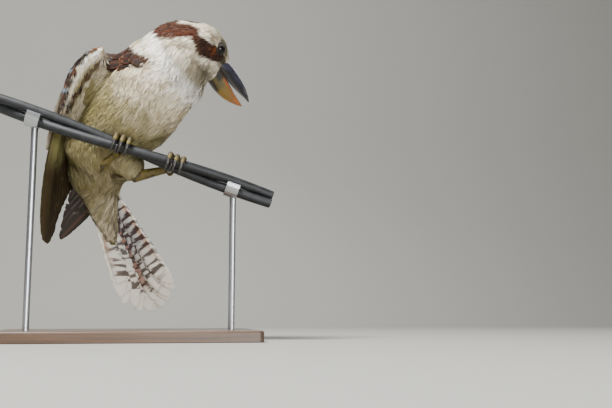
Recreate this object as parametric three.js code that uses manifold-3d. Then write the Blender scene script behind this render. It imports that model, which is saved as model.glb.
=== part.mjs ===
// A laughing kookaburra at life size, gripping a short cut length of twisted aerial cable.
// The cable is held by two rods on a flat base, as a museum would show the bird.
// Millimetres, +Z up. The bird looks to +X and away, along +Y, over its left shoulder.
import * as THREE from "three";
import { mergeVertices } from "three/addons/utils/BufferGeometryUtils.js";
import Module from "manifold-3d";

const wasm = await Module();
wasm.setup();

// Driving dimensions
const gap = 0.3; // between neighbouring pieces
const perchHeight = 198; // from the floor up to the cable's axis between the feet
const cableSlope = THREE.MathUtils.degToRad(18.1); // the cable falls towards +X
const cableStart = -168; // along the cable, from the perch point
const cableEnd = 142;
const conductorRadius = 5.2;
const cablePitch = 440; // one full turn of the twisted pair
const bodyHeading = THREE.MathUtils.degToRad(32); // the belly's turn from -Y towards +X
const billLength = 53; // exposed culmen
const billGape = THREE.MathUtils.degToRad(10);
const eyeRadius = 6.2;
const footSpacing = 60; // between the feet, along the cable
const toeRadius = 2.9;
const shankRadius = 3.4;
const tailLength = 172;
const tailSpreads = [8.6, 7.3]; // degrees from the middle to the outermost right and left feathers
const tailFeathers = 12;
const vaneThickness = 0.7;
const vaneLevelStep = 0.3; // each vane of a wing lies this much over the one before
const vaneTilt = 0.27; // slope of a vane across its width, so that it clears the next
const baseSize = { x: 276, y: 168, z: 12 };
const baseChamfer = 2;
const baseCentre = { x: -16, y: 38 };
const rodRadius = 3.5;
const rodPlaces = [-118, 92]; // along x, at the left and right of the bird
const cradleRadius = 13.5;
const cradleLength = 14;
const rodTopDepth = 8; // of a rod's top, within its cradle, under the cable's axis

const V = (x, y, z) => new THREE.Vector3(x, y, z);
const along = (point, direction, distance) => point.clone().addScaledVector(direction, distance);

// Closed shapes

// Joins rings of equal count into one closed surface with flat fans over both ends.
function closedLoft(rings) {
  const count = rings[0].length;
  const positions = rings.flat().flatMap((p) => [p.x, p.y, p.z]);
  const faces = [];
  for (let i = 0; i + 1 < rings.length; i++) {
    for (let j = 0; j < count; j++) {
      const a = i * count + j;
      const b = i * count + ((j + 1) % count);
      faces.push(a, b, b + count, a, b + count, a + count);
    }
  }
  const last = (rings.length - 1) * count;
  for (let j = 1; j + 1 < count; j++) {
    faces.push(0, j + 1, j);
    faces.push(last, last + j, last + j + 1);
  }
  const geometry = new THREE.BufferGeometry();
  geometry.setAttribute("position", new THREE.Float32BufferAttribute(positions, 3));
  geometry.setIndex(faces);
  return geometry;
}

function signedVolume(geometry) {
  const p = geometry.attributes.position;
  const index = geometry.index.array;
  const a = V(0, 0, 0);
  const b = V(0, 0, 0);
  const c = V(0, 0, 0);
  let total = 0;
  for (let i = 0; i < index.length; i += 3) {
    a.fromBufferAttribute(p, index[i]);
    b.fromBufferAttribute(p, index[i + 1]);
    c.fromBufferAttribute(p, index[i + 2]);
    total += a.dot(b.cross(c)) / 6;
  }
  return total;
}

// A geometry as a solid, with its faces turned outwards.
function solidOf(source) {
  const bare = new THREE.BufferGeometry();
  bare.setAttribute("position", source.getAttribute("position"));
  if (source.index) bare.setIndex(source.index);
  const merged = mergeVertices(bare, 1e-4);
  const triVerts = new Uint32Array(merged.index.array);
  if (signedVolume(merged) < 0) {
    for (let i = 0; i < triVerts.length; i += 3) {
      [triVerts[i + 1], triVerts[i + 2]] = [triVerts[i + 2], triVerts[i + 1]];
    }
  }
  const vertProperties = new Float32Array(merged.attributes.position.array);
  return new wasm.Manifold(new wasm.Mesh({ numProp: 3, vertProperties, triVerts }));
}

const loftSolid = (rings) => solidOf(closedLoft(rings));
const joined = (solids) => solids.reduce((whole, piece) => whole.add(piece));

// The largest closed surface of a solid; loose scraps and sealed hollows are dropped.
function largestBody(solid) {
  const bodies = solid.decompose();
  return bodies.reduce((best, body) => (body.volume() > best.volume() ? body : best));
}

function geometryOf(solid) {
  const mesh = solid.getMesh();
  const positions = new Float32Array(mesh.numVert * 3);
  for (let i = 0; i < mesh.numVert; i++) {
    for (let k = 0; k < 3; k++) positions[i * 3 + k] = mesh.vertProperties[i * mesh.numProp + k];
  }
  const geometry = new THREE.BufferGeometry();
  geometry.setAttribute("position", new THREE.BufferAttribute(positions, 3));
  geometry.setIndex(new THREE.BufferAttribute(new Uint32Array(mesh.triVerts), 1));
  geometry.computeVertexNormals();
  return geometry;
}

// A large box that fills the side of a plane that its normal points to.
function halfSpace(point, normal) {
  const size = 600;
  const box = new THREE.BoxGeometry(size, size, size).translate(0, 0, size / 2);
  const turn = new THREE.Quaternion().setFromUnitVectors(V(0, 0, 1), normal.clone().normalize());
  box.applyQuaternion(turn).translate(point.x, point.y, point.z);
  return solidOf(box);
}

// Parts a solid by a thin slab: the piece behind the plane and the piece ahead of it.
function parted(solid, point, normal) {
  const n = normal.clone().normalize();
  const behind = solid.intersect(halfSpace(along(point, n, -gap / 2), n.clone().negate()));
  const ahead = solid.intersect(halfSpace(along(point, n, gap / 2), n));
  return [behind, ahead];
}

// A ring of points round a centre: half width to either side, and two half depths.
function ovalRing(centre, side, front, wide, ahead, behind, count) {
  const ring = [];
  for (let i = 0; i < count; i++) {
    const angle = (i / count) * 2 * Math.PI;
    const depth = Math.sin(angle) > 0 ? ahead : behind;
    const p = along(centre, side, wide * Math.cos(angle));
    ring.push(p.addScaledVector(front, depth * Math.sin(angle)));
  }
  return ring;
}

// A round bar along a list of points, with a radius at each.
function barSolid(points, radii, sides, steps) {
  const curve = new THREE.CatmullRomCurve3(points, false, "centripetal");
  const frames = curve.computeFrenetFrames(steps);
  const rings = [];
  for (let i = 0; i <= steps; i++) {
    const t = i / steps;
    const place = t * (radii.length - 1);
    const low = Math.min(Math.floor(place), radii.length - 2);
    const radius = THREE.MathUtils.lerp(radii[low], radii[low + 1], place - low);
    const centre = curve.getPointAt(t);
    rings.push(ovalRing(centre, frames.normals[i], frames.binormals[i], radius, radius, radius, sides));
  }
  return loftSolid(rings);
}

// Torso and neck
// Each section: its centre, half width, half depths to the belly and the back,
// and the heading of the bird's right side in degrees, anticlockwise from +X.
const torsoTurn = 180 + THREE.MathUtils.radToDeg(bodyHeading);
const bodySections = [
  { at: V(-57, 76, -42), wide: 9, belly: 8, back: 7, turn: torsoTurn },
  { at: V(-57, 74, -34), wide: 23, belly: 21, back: 17, turn: torsoTurn },
  { at: V(-57, 70, -17), wide: 31, belly: 27, back: 25, turn: torsoTurn },
  { at: V(-52, 62, 5), wide: 36, belly: 30, back: 32, turn: torsoTurn },
  { at: V(-43, 53, 27), wide: 40, belly: 38, back: 37, turn: torsoTurn },
  { at: V(-28, 40, 46), wide: 43, belly: 47, back: 43, turn: torsoTurn },
  { at: V(-13, 28, 60), wide: 44, belly: 50, back: 48, turn: torsoTurn },
  { at: V(-1, 16, 75), wide: 43, belly: 50, back: 51, turn: torsoTurn + 4 },
  { at: V(9, 4, 87), wide: 42, belly: 49, back: 49, turn: torsoTurn + 16 },
  { at: V(23, -6, 98), wide: 38, belly: 46, back: 43, turn: torsoTurn + 36 },
  { at: V(34, -13, 106), wide: 36, belly: 38, back: 42, turn: torsoTurn + 56 },
  { at: V(45, -20, 113), wide: 34, belly: 30, back: 37, turn: torsoTurn + 74 },
  { at: V(54, -25, 118), wide: 29, belly: 24, back: 30, turn: torsoTurn + 86 },
  { at: V(61, -27, 121), wide: 17, belly: 14, back: 18, turn: torsoTurn + 94 },
];
const ringCount = 26;

function sectionFrame(i) {
  const before = bodySections[Math.max(i - 1, 0)].at;
  const after = bodySections[Math.min(i + 1, bodySections.length - 1)].at;
  const headward = after.clone().sub(before).normalize();
  const angle = THREE.MathUtils.degToRad(bodySections[i].turn);
  const right = V(Math.cos(angle), Math.sin(angle), 0);
  right.addScaledVector(headward, -right.dot(headward)).normalize();
  const belly = headward.clone().cross(right).normalize();
  return { headward, right, belly };
}

// The torso and neck, made larger all round by an extra depth.
function bodySolid(extra) {
  const rings = bodySections.map((s, i) => {
    const f = sectionFrame(i);
    return ovalRing(s.at, f.right, f.belly, s.wide + extra, s.belly + extra, s.back + extra, ringCount);
  });
  return loftSolid(rings);
}

// Head
// Its own frame: ahead along the closed bill, right, and up, from the top of the bill's base.
const headAhead = V(0.66, 0.607, -0.444).normalize();
const headUp = V(0.632, -0.128, 0.764);
headUp.addScaledVector(headAhead, -headUp.dot(headAhead)).normalize();
const headRight = headAhead.clone().cross(headUp).normalize();
const billBase = V(85.5, 1.2, 107.8);

function headPoint(ahead, right, up) {
  const p = along(billBase, headAhead, ahead);
  p.addScaledVector(headRight, right);
  return p.addScaledVector(headUp, up);
}

// Stations from the bill back to the hind crown: distance behind, top, bottom and half width.
const headStations = [
  { back: 0.5, top: 1.4, bottom: -27.5, wide: 9 },
  { back: 4, top: 4.2, bottom: -31.5, wide: 12 },
  { back: 12, top: 9.5, bottom: -35, wide: 16.5 },
  { back: 22, top: 14, bottom: -37.5, wide: 20.5 },
  { back: 34, top: 16.5, bottom: -40.5, wide: 24 },
  { back: 46, top: 15, bottom: -43, wide: 26.5 },
  { back: 56, top: 10, bottom: -42, wide: 25 },
  { back: 64, top: 3, bottom: -38, wide: 20 },
  { back: 71, top: -8, bottom: -32, wide: 12 },
  { back: 75, top: -15, bottom: -25, wide: 5 },
];

// Where the feathers of the face end at the bill, as seen from the side: points ahead and up.
const faceEdge = [
  [5, 3.5],
  [-15.2, -9.3],
  [-11.6, -14.2],
  [-7.9, -17.6],
  [-4.9, -23.2],
  [-1.6, -34],
  [5, -34],
];

// All that lies ahead of the face's feathers, moved ahead to leave room for the bill's gap.
function faceSpace(moved) {
  const side = (right) => faceEdge.map(([ahead, up]) => headPoint(ahead + moved, right, up));
  return loftSolid([side(-24), side(24)]);
}

function headSolid(extra) {
  const rings = headStations.map((s) => {
    const middle = (s.top + s.bottom) / 2 + 3;
    const centre = headPoint(-s.back, 0, middle);
    const rise = s.top - middle + extra;
    const drop = middle - s.bottom + extra;
    return ovalRing(centre, headRight, headUp, s.wide + extra, rise, drop, 24);
  });
  return loftSolid(rings);
}

// Bill
const gapePoint = headPoint(-13, 0, -12.5);

// A half of the bill along its length: half width and the heights of its two edges.
function billHalf(stations, turn) {
  const rings = stations.map((s) => {
    const ring = [];
    const count = 14;
    for (let i = 0; i < count; i++) {
      const angle = (i / count) * 2 * Math.PI;
      const cos = Math.cos(angle);
      const sin = Math.sin(angle);
      const height = sin > 0 ? s.edge + (s.top - s.edge) * sin : s.edge + (s.edge - s.bottom) * sin;
      ring.push(headPoint(s.ahead, s.wide * cos, height));
    }
    return ring;
  });
  const solid = closedLoft(rings);
  if (turn) {
    solid.translate(-gapePoint.x, -gapePoint.y, -gapePoint.z);
    solid.applyQuaternion(new THREE.Quaternion().setFromAxisAngle(headRight, -turn));
    solid.translate(gapePoint.x, gapePoint.y, gapePoint.z);
  }
  return solidOf(solid);
}

const upperBillStations = [
  { ahead: -18, top: 0, edge: -10, bottom: -10.8, wide: 13 },
  { ahead: 0, top: 1, edge: -11.2, bottom: -12, wide: 11 },
  { ahead: 14, top: -0.2, edge: -12.4, bottom: -13.2, wide: 9 },
  { ahead: 28, top: -2.3, edge: -13, bottom: -13.8, wide: 7 },
  { ahead: 40, top: -5.6, edge: -12.9, bottom: -13.7, wide: 4.8 },
  { ahead: 47, top: -8.4, edge: -12.6, bottom: -13.3, wide: 2.7 },
  { ahead: 50.5, top: -10.2, edge: -12.6, bottom: -13.2, wide: 1.4 },
  { ahead: billLength, top: -11.7, edge: -12.7, bottom: -13.2, wide: 0.5 },
];

const lowerBillStations = [
  { ahead: -18, top: -12.6, edge: -13.6, bottom: -26, wide: 12.4 },
  { ahead: 0, top: -12.4, edge: -13.4, bottom: -28.4, wide: 10.8 },
  { ahead: 14, top: -12.2, edge: -13.2, bottom: -27.6, wide: 8.9 },
  { ahead: 28, top: -11.6, edge: -12.6, bottom: -24.2, wide: 6.8 },
  { ahead: 40, top: -10.8, edge: -11.8, bottom: -18.4, wide: 4.4 },
  { ahead: 46, top: -10.4, edge: -11.4, bottom: -14.8, wide: 2.6 },
  { ahead: 50, top: -10, edge: -10.6, bottom: -11.6, wide: 0.9 },
];

// The tongue lies in the lower bill: half width, and the heights of its two sides.
const tongueStations = [
  { ahead: -14, top: -11.5, edge: -12.8, bottom: -14, wide: 6.5 },
  { ahead: 4, top: -10, edge: -12, bottom: -14, wide: 6 },
  { ahead: 22, top: -10.4, edge: -11.8, bottom: -13.5, wide: 4 },
  { ahead: 34, top: -11, edge: -11.8, bottom: -12.8, wide: 1.4 },
];

// Eyes
const eyePlace = (side) => headPoint(-31.2, side * 17.2, 0);

function eyeSolid(side, extra) {
  const centre = eyePlace(side);
  const ball = new THREE.SphereGeometry(eyeRadius + extra, 16, 10);
  return solidOf(ball.translate(centre.x, centre.y, centre.z));
}

// A ball stretched along the head's own directions.
function headBall(at, ahead, right, up) {
  const ball = new THREE.SphereGeometry(1, 14, 9);
  const axes = [headAhead, headRight, headUp].map((axis) => axis.clone());
  const turn = new THREE.Matrix4().makeBasis(
    axes[0].multiplyScalar(ahead),
    axes[1].multiplyScalar(right),
    axes[2].multiplyScalar(up),
  );
  return solidOf(ball.applyMatrix4(turn).translate(at.x, at.y, at.z));
}

// The lids: a shell round the eyeball, open at its outer side.
function lidSolid(side) {
  const shell = headBall(eyePlace(side), eyeRadius + 1.5, eyeRadius + 1.1, eyeRadius + 1.2);
  const openingPlace = headPoint(-30.8, side * 23.7, 0);
  const opening = headBall(openingPlace, 5.4, 5, 4.6);
  return shell.subtract(opening);
}

const nostrils = () => headBall(headPoint(5, 7.7, -3.6), 2.2, 1.2, 0.7)
  .add(headBall(headPoint(5, -7.7, -3.6), 2.2, 1.2, 0.7));

// The open mouth within the face, and the line of the mouth behind it on both cheeks.
function mouthSpace() {
  const rings = [
    { ahead: -16, top: -11.3, bottom: -12.2, wide: 12 },
    { ahead: 0, top: -11.7, bottom: -15.4, wide: 10 },
    { ahead: 5, top: -11.7, bottom: -16.4, wide: 9.6 },
  ].map((s) => [
    headPoint(s.ahead, s.wide, s.top),
    headPoint(s.ahead, -s.wide, s.top),
    headPoint(s.ahead, -s.wide, s.bottom),
    headPoint(s.ahead, s.wide, s.bottom),
  ]);
  const lines = [-1, 1].map((side) => {
    const path = [
      headPoint(-14, side * 16.6, -11),
      headPoint(-18, side * 18.6, -12.2),
      headPoint(-22, side * 20, -13.8),
      headPoint(-26, side * 21.2, -15.6),
    ];
    return barSolid(path, [0.8, 0.8, 0.7, 0.4], 6, 5);
  });
  return joined([loftSolid(rings), ...lines]);
}

// Cable
const cableAhead = V(Math.cos(cableSlope), 0, -Math.sin(cableSlope));
const cableUp = V(Math.sin(cableSlope), 0, Math.cos(cableSlope));
const cableBack = V(0, 1, 0);

function cablePoint(a, back, up) {
  const p = cableAhead.clone().multiplyScalar(a);
  p.addScaledVector(cableBack, back);
  return p.addScaledVector(cableUp, up);
}

// One conductor of the pair: side -1 lies in front at the perch point, +1 behind.
function conductorSolid(side, extra) {
  const steps = 20;
  const sides = 12;
  const rings = [];
  for (let i = 0; i <= steps; i++) {
    const a = THREE.MathUtils.lerp(cableStart, cableEnd, i / steps);
    const twist = (a / cablePitch) * 2 * Math.PI;
    const reach = side * (conductorRadius + gap / 2);
    const centre = cablePoint(a, reach * Math.cos(twist), -reach * Math.sin(twist));
    const radius = conductorRadius + extra;
    rings.push(ovalRing(centre, cableBack, cableUp, radius, radius, radius, sides));
  }
  return loftSolid(rings);
}

// Feet and claws
// Toe paths round the cable: distance behind its axis and above it.
const frontToePath = [
  [15.5, 1],
  [12.6, 7],
  [6, 9],
  [-3, 9.1],
  [-10.6, 7.4],
  [-14.1, 1],
];
const hindToePath = [
  [15.5, -1],
  [12.4, -7],
  [6, -9],
  [-1, -9.1],
  [-7.5, -9],
];
const frontClawPath = [
  [-14, 1.8],
  [-14.6, -3],
  [-13.4, -8],
  [-10.6, -11.6],
];
const hindClawPath = [
  [-6.9, -9],
  [-11.4, -8.6],
  [-15, -5.6],
  [-16.4, -2],
];
const toeSpreads = [-7.5, 0, 7.2];
const hindToeSpread = -3;

function toePoints(foot, path, spread) {
  return path.map(([back, up], i) => {
    const fan = 0.3 + 0.7 * Math.min(1, i / 3);
    return cablePoint(foot + spread * fan, back, up);
  });
}

const clawRadii = [2.2, 1.8, 1.2, 0.4];

function clawSolid(foot, path, spread, extra = 0) {
  const points = path.map(([back, up]) => cablePoint(foot + spread, back, up));
  return barSolid(points, clawRadii.map((radius) => radius + extra), 6, 6);
}

function toeSolid(foot, path, spread, radii, extra = 0) {
  return barSolid(toePoints(foot, path, spread), radii.map((radius) => radius + extra), 8, 8);
}

// A toe and its claw, parted by a thin cut at the claw's root.
function toeAndClaw(foot, toePath, clawPath, spread, radii) {
  const toe = toeSolid(foot, toePath, spread, radii);
  const claw = clawSolid(foot, clawPath, spread);
  const [rootBack, rootUp] = clawPath[0];
  const [nextBack, nextUp] = clawPath[1];
  const root = cablePoint(foot + spread, rootBack, rootUp);
  const way = cablePoint(foot + spread, nextBack, nextUp).sub(root);
  const cut = root.addScaledVector(way, 0.2);
  return [parted(toe, cut, way)[0], parted(claw, cut, way)[1]];
}

// Feathers
// Along a vane: how far from its root, and its share of the full width.
const wingVane = [
  [0, 0.5],
  [0.3, 0.86],
  [0.6, 1],
  [0.84, 0.92],
  [0.96, 0.6],
  [1, 0.24],
];
const tailVane = [
  [0, 0.3],
  [0.35, 0.7],
  [0.62, 0.94],
  [0.82, 1],
  [0.94, 0.7],
  [1, 0.18],
];

// A thin vane from root to tip, bowed outwards over a reach, with its leading side raised.
function vaneSolid({ root, tip, lead, over, width, bow, reach, tilt = vaneTilt, outline = wingVane }) {
  const way = tip.clone().sub(root);
  const length = way.length();
  way.normalize();
  const across = lead.clone().addScaledVector(way, -lead.dot(way)).normalize();
  const up = way.clone().cross(across);
  if (up.dot(over) < 0) up.negate();
  const raisedLead = across.clone().addScaledVector(up, tilt).normalize();
  const face = up.clone().addScaledVector(across, -tilt).normalize();
  const positions = [];
  for (const [at, share] of outline) {
    const shareOfReach = (at * length) / reach;
    const rise = bow * 4 * shareOfReach * (1 - shareOfReach);
    const centre = root.clone().lerp(tip, at).addScaledVector(up, rise);
    const half = (width * share) / 2;
    for (const [side, level] of [[1, 1], [-1, 1], [-1, -1], [1, -1]]) {
      const p = along(centre, raisedLead, side * half);
      p.addScaledVector(face, (level * vaneThickness) / 2);
      positions.push(p.x, p.y, p.z);
    }
  }
  // Both broad faces of each step are split along the same diagonal.
  const faces = [0, 3, 2, 0, 2, 1];
  for (let i = 0; i + 1 < outline.length; i++) {
    const o = 4 * i;
    const p = o + 4;
    faces.push(o, o + 1, p + 1, o, p + 1, p);
    faces.push(o + 3, p + 2, o + 2, o + 3, p + 3, p + 2);
    faces.push(o + 3, o, p, o + 3, p, p + 3);
    faces.push(o + 1, o + 2, p + 2, o + 1, p + 2, p + 1);
  }
  const last = 4 * (outline.length - 1);
  faces.push(last, last + 1, last + 2, last, last + 2, last + 3);
  const geometry = new THREE.BufferGeometry();
  geometry.setAttribute("position", new THREE.Float32BufferAttribute(positions, 3));
  geometry.setIndex(faces);
  return solidOf(geometry);
}

// Vanes fanned from a line of roots to a line of tips, each lying over the one before.
function fanSolid({ roots, tips, count, widths, bow, reach, over, lift = 0 }) {
  const rootLine = new THREE.CatmullRomCurve3(roots);
  const tipLine = new THREE.CatmullRomCurve3(tips);
  const middle = (s) => rootLine.getPoint(s).add(tipLine.getPoint(s)).multiplyScalar(0.5);
  const vanes = [];
  for (let i = 0; i < count; i++) {
    const s = i / (count - 1);
    const lead = middle(Math.max(s - 0.05, 0)).sub(middle(Math.min(s + 0.05, 1)));
    vanes.push(
      vaneSolid({
        root: along(rootLine.getPoint(s), over, lift + i * vaneLevelStep),
        tip: along(tipLine.getPoint(s), over, lift + i * vaneLevelStep),
        lead,
        over,
        width: THREE.MathUtils.lerp(widths[0], widths[1], s),
        bow,
        reach,
      }),
    );
  }
  return joined(vanes);
}

// The covert-clad arm of a wing: its leading edge, chord and thickness at each station.
function armSolid(stations, chordAhead, extra = 0) {
  const curve = new THREE.CatmullRomCurve3(stations.map((s) => s.edge));
  const rings = stations.map((s, i) => {
    const down = curve.getTangent(i / (stations.length - 1));
    const chordWay = chordAhead.clone().addScaledVector(down, -chordAhead.dot(down)).normalize();
    const normal = down.clone().cross(chordWay).normalize();
    const centre = along(s.edge, chordWay, s.chord / 2);
    const depth = s.thick / 2 + extra;
    return ovalRing(centre, chordWay, normal, s.chord / 2 + extra, depth, depth, 16);
  });
  return loftSolid(rings);
}

// The line of the coverts' tips: a share of the way down the bowed flight feathers.
function covertTips(wing, share) {
  const rootLine = new THREE.CatmullRomCurve3(wing.roots);
  const tipLine = new THREE.CatmullRomCurve3(wing.tips);
  return [0, 0.25, 0.5, 0.75, 1].map((s) => rootLine.getPoint(s).lerp(tipLine.getPoint(s), share));
}

// Right wing: hanging a little away from the body, from the outermost primary inwards.
const rightWing = {
  arm: [
    { edge: V(-49, -4, 118), chord: 16, thick: 9 },
    { edge: V(-64, -5, 111), chord: 43, thick: 20 },
    { edge: V(-83, -2, 89), chord: 56, thick: 23 },
    { edge: V(-92, 4, 62), chord: 53, thick: 17 },
    { edge: V(-96, 10, 43), chord: 46, thick: 13 },
    { edge: V(-98, 13, 36), chord: 40, thick: 9 },
  ],
  chordAhead: V(0.5, 0.86, 0),
  flightCount: 15,
  covertCount: 9,
  roots: [V(-84, 9, 74), V(-79, 17, 78), V(-74, 26, 80), V(-69, 36, 76), V(-64, 45, 68)],
  tips: [
    V(-109, 44, -90),
    V(-106, 53, -92),
    V(-97, 59, -68),
    V(-89, 64, -50),
    V(-82, 68, -36),
    V(-77, 72, -30),
    V(-72, 75, -20),
    V(-68, 78, -8),
    V(-64, 79, 6),
  ],
  over: V(-0.95, 0.05, 0.1),
  widths: [18, 22],
  bow: 10,
  reach: 172,
};

// The shoulder between the back and the wing: its middle, half height and half depths.
const shoulderSections = [
  { at: V(2, 24, 98), high: 18, front: 12, rear: 18 },
  { at: V(-22, 24, 97), high: 23, front: 12, rear: 20 },
  { at: V(-42, 23, 94), high: 25, front: 12, rear: 18 },
  { at: V(-58, 21, 91), high: 25, front: 11, rear: 14 },
  { at: V(-70, 19, 87), high: 20, front: 8, rear: 8 },
  { at: V(-76, 18, 85), high: 9, front: 4, rear: 4 },
];

function shoulderSolid() {
  const forward = V(0.25, -0.97, 0);
  const rings = shoulderSections.map((s) =>
    ovalRing(s.at, V(0, 0, 1), forward, s.high, s.front, s.rear, 18),
  );
  return loftSolid(rings);
}

// Left wing: folded along the back, from the outermost primary up to the innermost secondary.
const leftWing = {
  arm: [
    { edge: V(38, 33, 96), chord: 28, thick: 14 },
    { edge: V(31, 49, 83), chord: 48, thick: 20 },
    { edge: V(16, 69, 58), chord: 60, thick: 20 },
    { edge: V(0, 81, 36), chord: 52, thick: 16 },
    { edge: V(-6, 84, 27), chord: 42, thick: 10 },
  ],
  chordAhead: V(-0.95, 0.2, 0),
  flightCount: 10,
  covertCount: 6,
  roots: [V(14, 68, 50), V(6, 70, 54), V(-2, 71, 57), V(-11, 72, 58), V(-20, 73, 58)],
  tips: [
    V(-99, 107, -82),
    V(-97, 106, -63),
    V(-93, 104, -45),
    V(-88, 102, -31),
    V(-82, 99, -21),
    V(-76, 96, -12),
    V(-70, 92, -3),
    V(-65, 88, 7),
    V(-60, 84, 17),
  ],
  over: V(-0.1, 0.9, 0.4),
  widths: [18, 22],
  bow: 10,
  reach: 190,
};

const covertShare = 0.42; // greater coverts' length against the flight feathers'
const covertWidths = [14, 15];
const covertLift = 5.4; // above the flight feathers

// The flight feathers of a wing with the greater coverts over them.
function wingVanes(wing) {
  const flight = fanSolid({ ...wing, count: wing.flightCount });
  const coverts = fanSolid({
    ...wing,
    tips: covertTips(wing, covertShare),
    count: wing.covertCount,
    widths: covertWidths,
    lift: covertLift,
  });
  return flight.add(coverts);
}

// Tail
const tailRoot = V(-55.5, 74, -22);
const tailDown = V(0.44, 0.21, -0.875).normalize();
const tailLeft = V(0.96, -0.05, 0.24);
tailLeft.addScaledVector(tailDown, -tailLeft.dot(tailDown)).normalize();
const tailUnder = tailDown.clone().cross(tailLeft).normalize();
const tailRootHalfWidth = 11;
const tailRootBack = 9; // how far up inside the rump the feathers begin
// Lengths of the outermost right and left tail feathers against the central pair's.
const outerTailShares = [0.81, 0.88];
const tailFeatherWidth = 20;
const tailPairStep = 0.07; // between the two feathers of a pair, of the half tail's spread
const tailLevelStep = 1.1; // each feather lies this far under its inner neighbour

function tailPoint(down, left, under) {
  const p = along(tailRoot, tailDown, down);
  p.addScaledVector(tailLeft, left);
  return p.addScaledVector(tailUnder, under);
}

function tailSolid() {
  const vanes = [];
  for (let i = 0; i < tailFeathers; i++) {
    const group = (4 * Math.floor(i / 2)) / (tailFeathers - 2) - 1;
    const across = group * (1 - tailPairStep / 2) + ((i % 2) - 0.5) * tailPairStep;
    const pair = Math.floor(Math.abs(i - (tailFeathers - 1) / 2));
    const level = pair * tailLevelStep + (across > 0 ? tailLevelStep / 2 : 0);
    const half = across > 0 ? 1 : 0;
    const length = tailLength * THREE.MathUtils.lerp(1, outerTailShares[half], (pair / 5) ** 1.6);
    const angle = across * THREE.MathUtils.degToRad(tailSpreads[half]);
    const root = tailPoint(-tailRootBack, across * tailRootHalfWidth, level - 2);
    const tip = along(root, tailDown, length * Math.cos(angle));
    tip.addScaledVector(tailLeft, length * Math.sin(angle));
    vanes.push(
      vaneSolid({
        root,
        tip,
        lead: tailLeft,
        over: tailUnder,
        width: tailFeatherWidth,
        bow: 2,
        reach: tailLength,
        tilt: 0,
        outline: tailVane,
      }),
    );
  }
  const coverts = [];
  for (const [down, left, wide, under, over] of [
    [0, 0, 22, 20, 16],
    [18, -2, 19.5, 19, 12],
    [36, -6, 14.5, 13, 8],
    [54, -9, 9, 8, 5],
    [70, -11, 3, 5, 2],
  ]) {
    coverts.push(ovalRing(tailPoint(down, left, 2), tailLeft, tailUnder, wide, under, over, 16));
  }
  return joined([...vanes, loftSolid(coverts)]);
}

// Thighs and shanks: a shank's shares are of its radius at the heel, half way and at the toes.
const legs = {
  left: {
    foot: footSpacing / 2,
    heel: V(-11, 32, -17),
    hip: [V(-33, 43, 16), V(-23, 36, 2), V(-15, 33, -11), V(-10.5, 32, -17.5)],
    girth: [23, 20, 13.5, 7.5],
    shank: [2, 1.4, 1.1],
  },
  right: {
    foot: -footSpacing / 2,
    heel: V(-52, 35, -9),
    hip: [V(-72, 48, 26), V(-67, 38, 9), V(-58, 34, -4), V(-51.5, 34.5, -9.5)],
    girth: [23, 19, 11, 5.5],
    shank: [1.6, 1.25, 1.1],
  },
};

const palmBack = 15.5; // the palm lies this far behind the cable's middle

function shankSolid(leg, extra = 0) {
  const palm = cablePoint(leg.foot, palmBack, 0);
  const middle = leg.heel.clone().lerp(palm, 0.5);
  const start = leg.heel.clone().lerp(palm, -0.12);
  const radii = leg.shank.map((share) => share * shankRadius + extra);
  return barSolid([start, middle, palm], radii, 10, 5);
}

const frontToeRadii = [1.15, 1, 1, 1, 0.9, 0.78].map((share) => share * toeRadius);
const hindToeRadii = [1.15, 1, 0.95, 0.8].map((share) => share * toeRadius);

// The shank with its three front toes and hind toe, and their four claws.
function footAndClaws(leg) {
  const front = toeSpreads.map((spread) =>
    toeAndClaw(leg.foot, frontToePath, frontClawPath, spread, frontToeRadii),
  );
  const hind = toeAndClaw(leg.foot, hindToePath, hindClawPath, hindToeSpread, hindToeRadii);
  const toes = [...front, hind];
  return {
    foot: joined([shankSolid(leg), ...toes.map(([toe]) => toe)]),
    claws: toes.map(([, claw]) => claw),
  };
}

// The room that a foot and its claws take in the plumage round them.
function footSpace(leg) {
  const around = 2 * gap;
  const front = toeSpreads.flatMap((spread) => [
    toeSolid(leg.foot, frontToePath, spread, frontToeRadii, around),
    clawSolid(leg.foot, frontClawPath, spread, around),
  ]);
  const hind = [
    toeSolid(leg.foot, hindToePath, hindToeSpread, hindToeRadii, around),
    clawSolid(leg.foot, hindClawPath, hindToeSpread, around),
  ];
  return joined([shankSolid(leg, gap), ...front, ...hind]);
}

function thighSolid(leg, extra) {
  return barSolid(leg.hip, leg.girth.map((radius) => radius + extra), 16, 6);
}

// Materials
const paint = (color, roughness, metalness = 0) =>
  new THREE.MeshStandardMaterial({ color, roughness, metalness });
const materials = {
  plumage: paint(0xe6dccb, 0.95),
  darkPlumage: paint(0x4a2f22, 0.9),
  upperBill: paint(0x3a3b40, 0.45),
  lowerBill: paint(0xb98f4a, 0.5),
  eye: paint(0x1a1210, 0.1),
  leg: paint(0x8b7b45, 0.6),
  claw: paint(0x15130f, 0.4),
  cable: paint(0x1c1d20, 0.5),
  base: paint(0x2a2622, 0.6),
  rod: paint(0x8d9094, 0.35, 1),
};

const model = new THREE.Group();
model.position.set(-baseCentre.x, -baseCentre.y, perchHeight);

function place(name, solid, material) {
  const mesh = new THREE.Mesh(geometryOf(largestBody(solid)), material);
  mesh.name = name;
  model.add(mesh);
}

// Flesh: one whole form, parted by thin cuts at the neck's two ends
const cableSpace = conductorSolid(-1, gap).add(conductorSolid(1, gap));
const eyes = { left: eyeSolid(-1, 0), right: eyeSolid(1, 0) };
const eyeSpace = eyeSolid(-1, gap).add(eyeSolid(1, gap));
const upperBill = billHalf(upperBillStations, 0);
const lowerBill = billHalf(lowerBillStations, billGape).add(billHalf(tongueStations, billGape));

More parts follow.
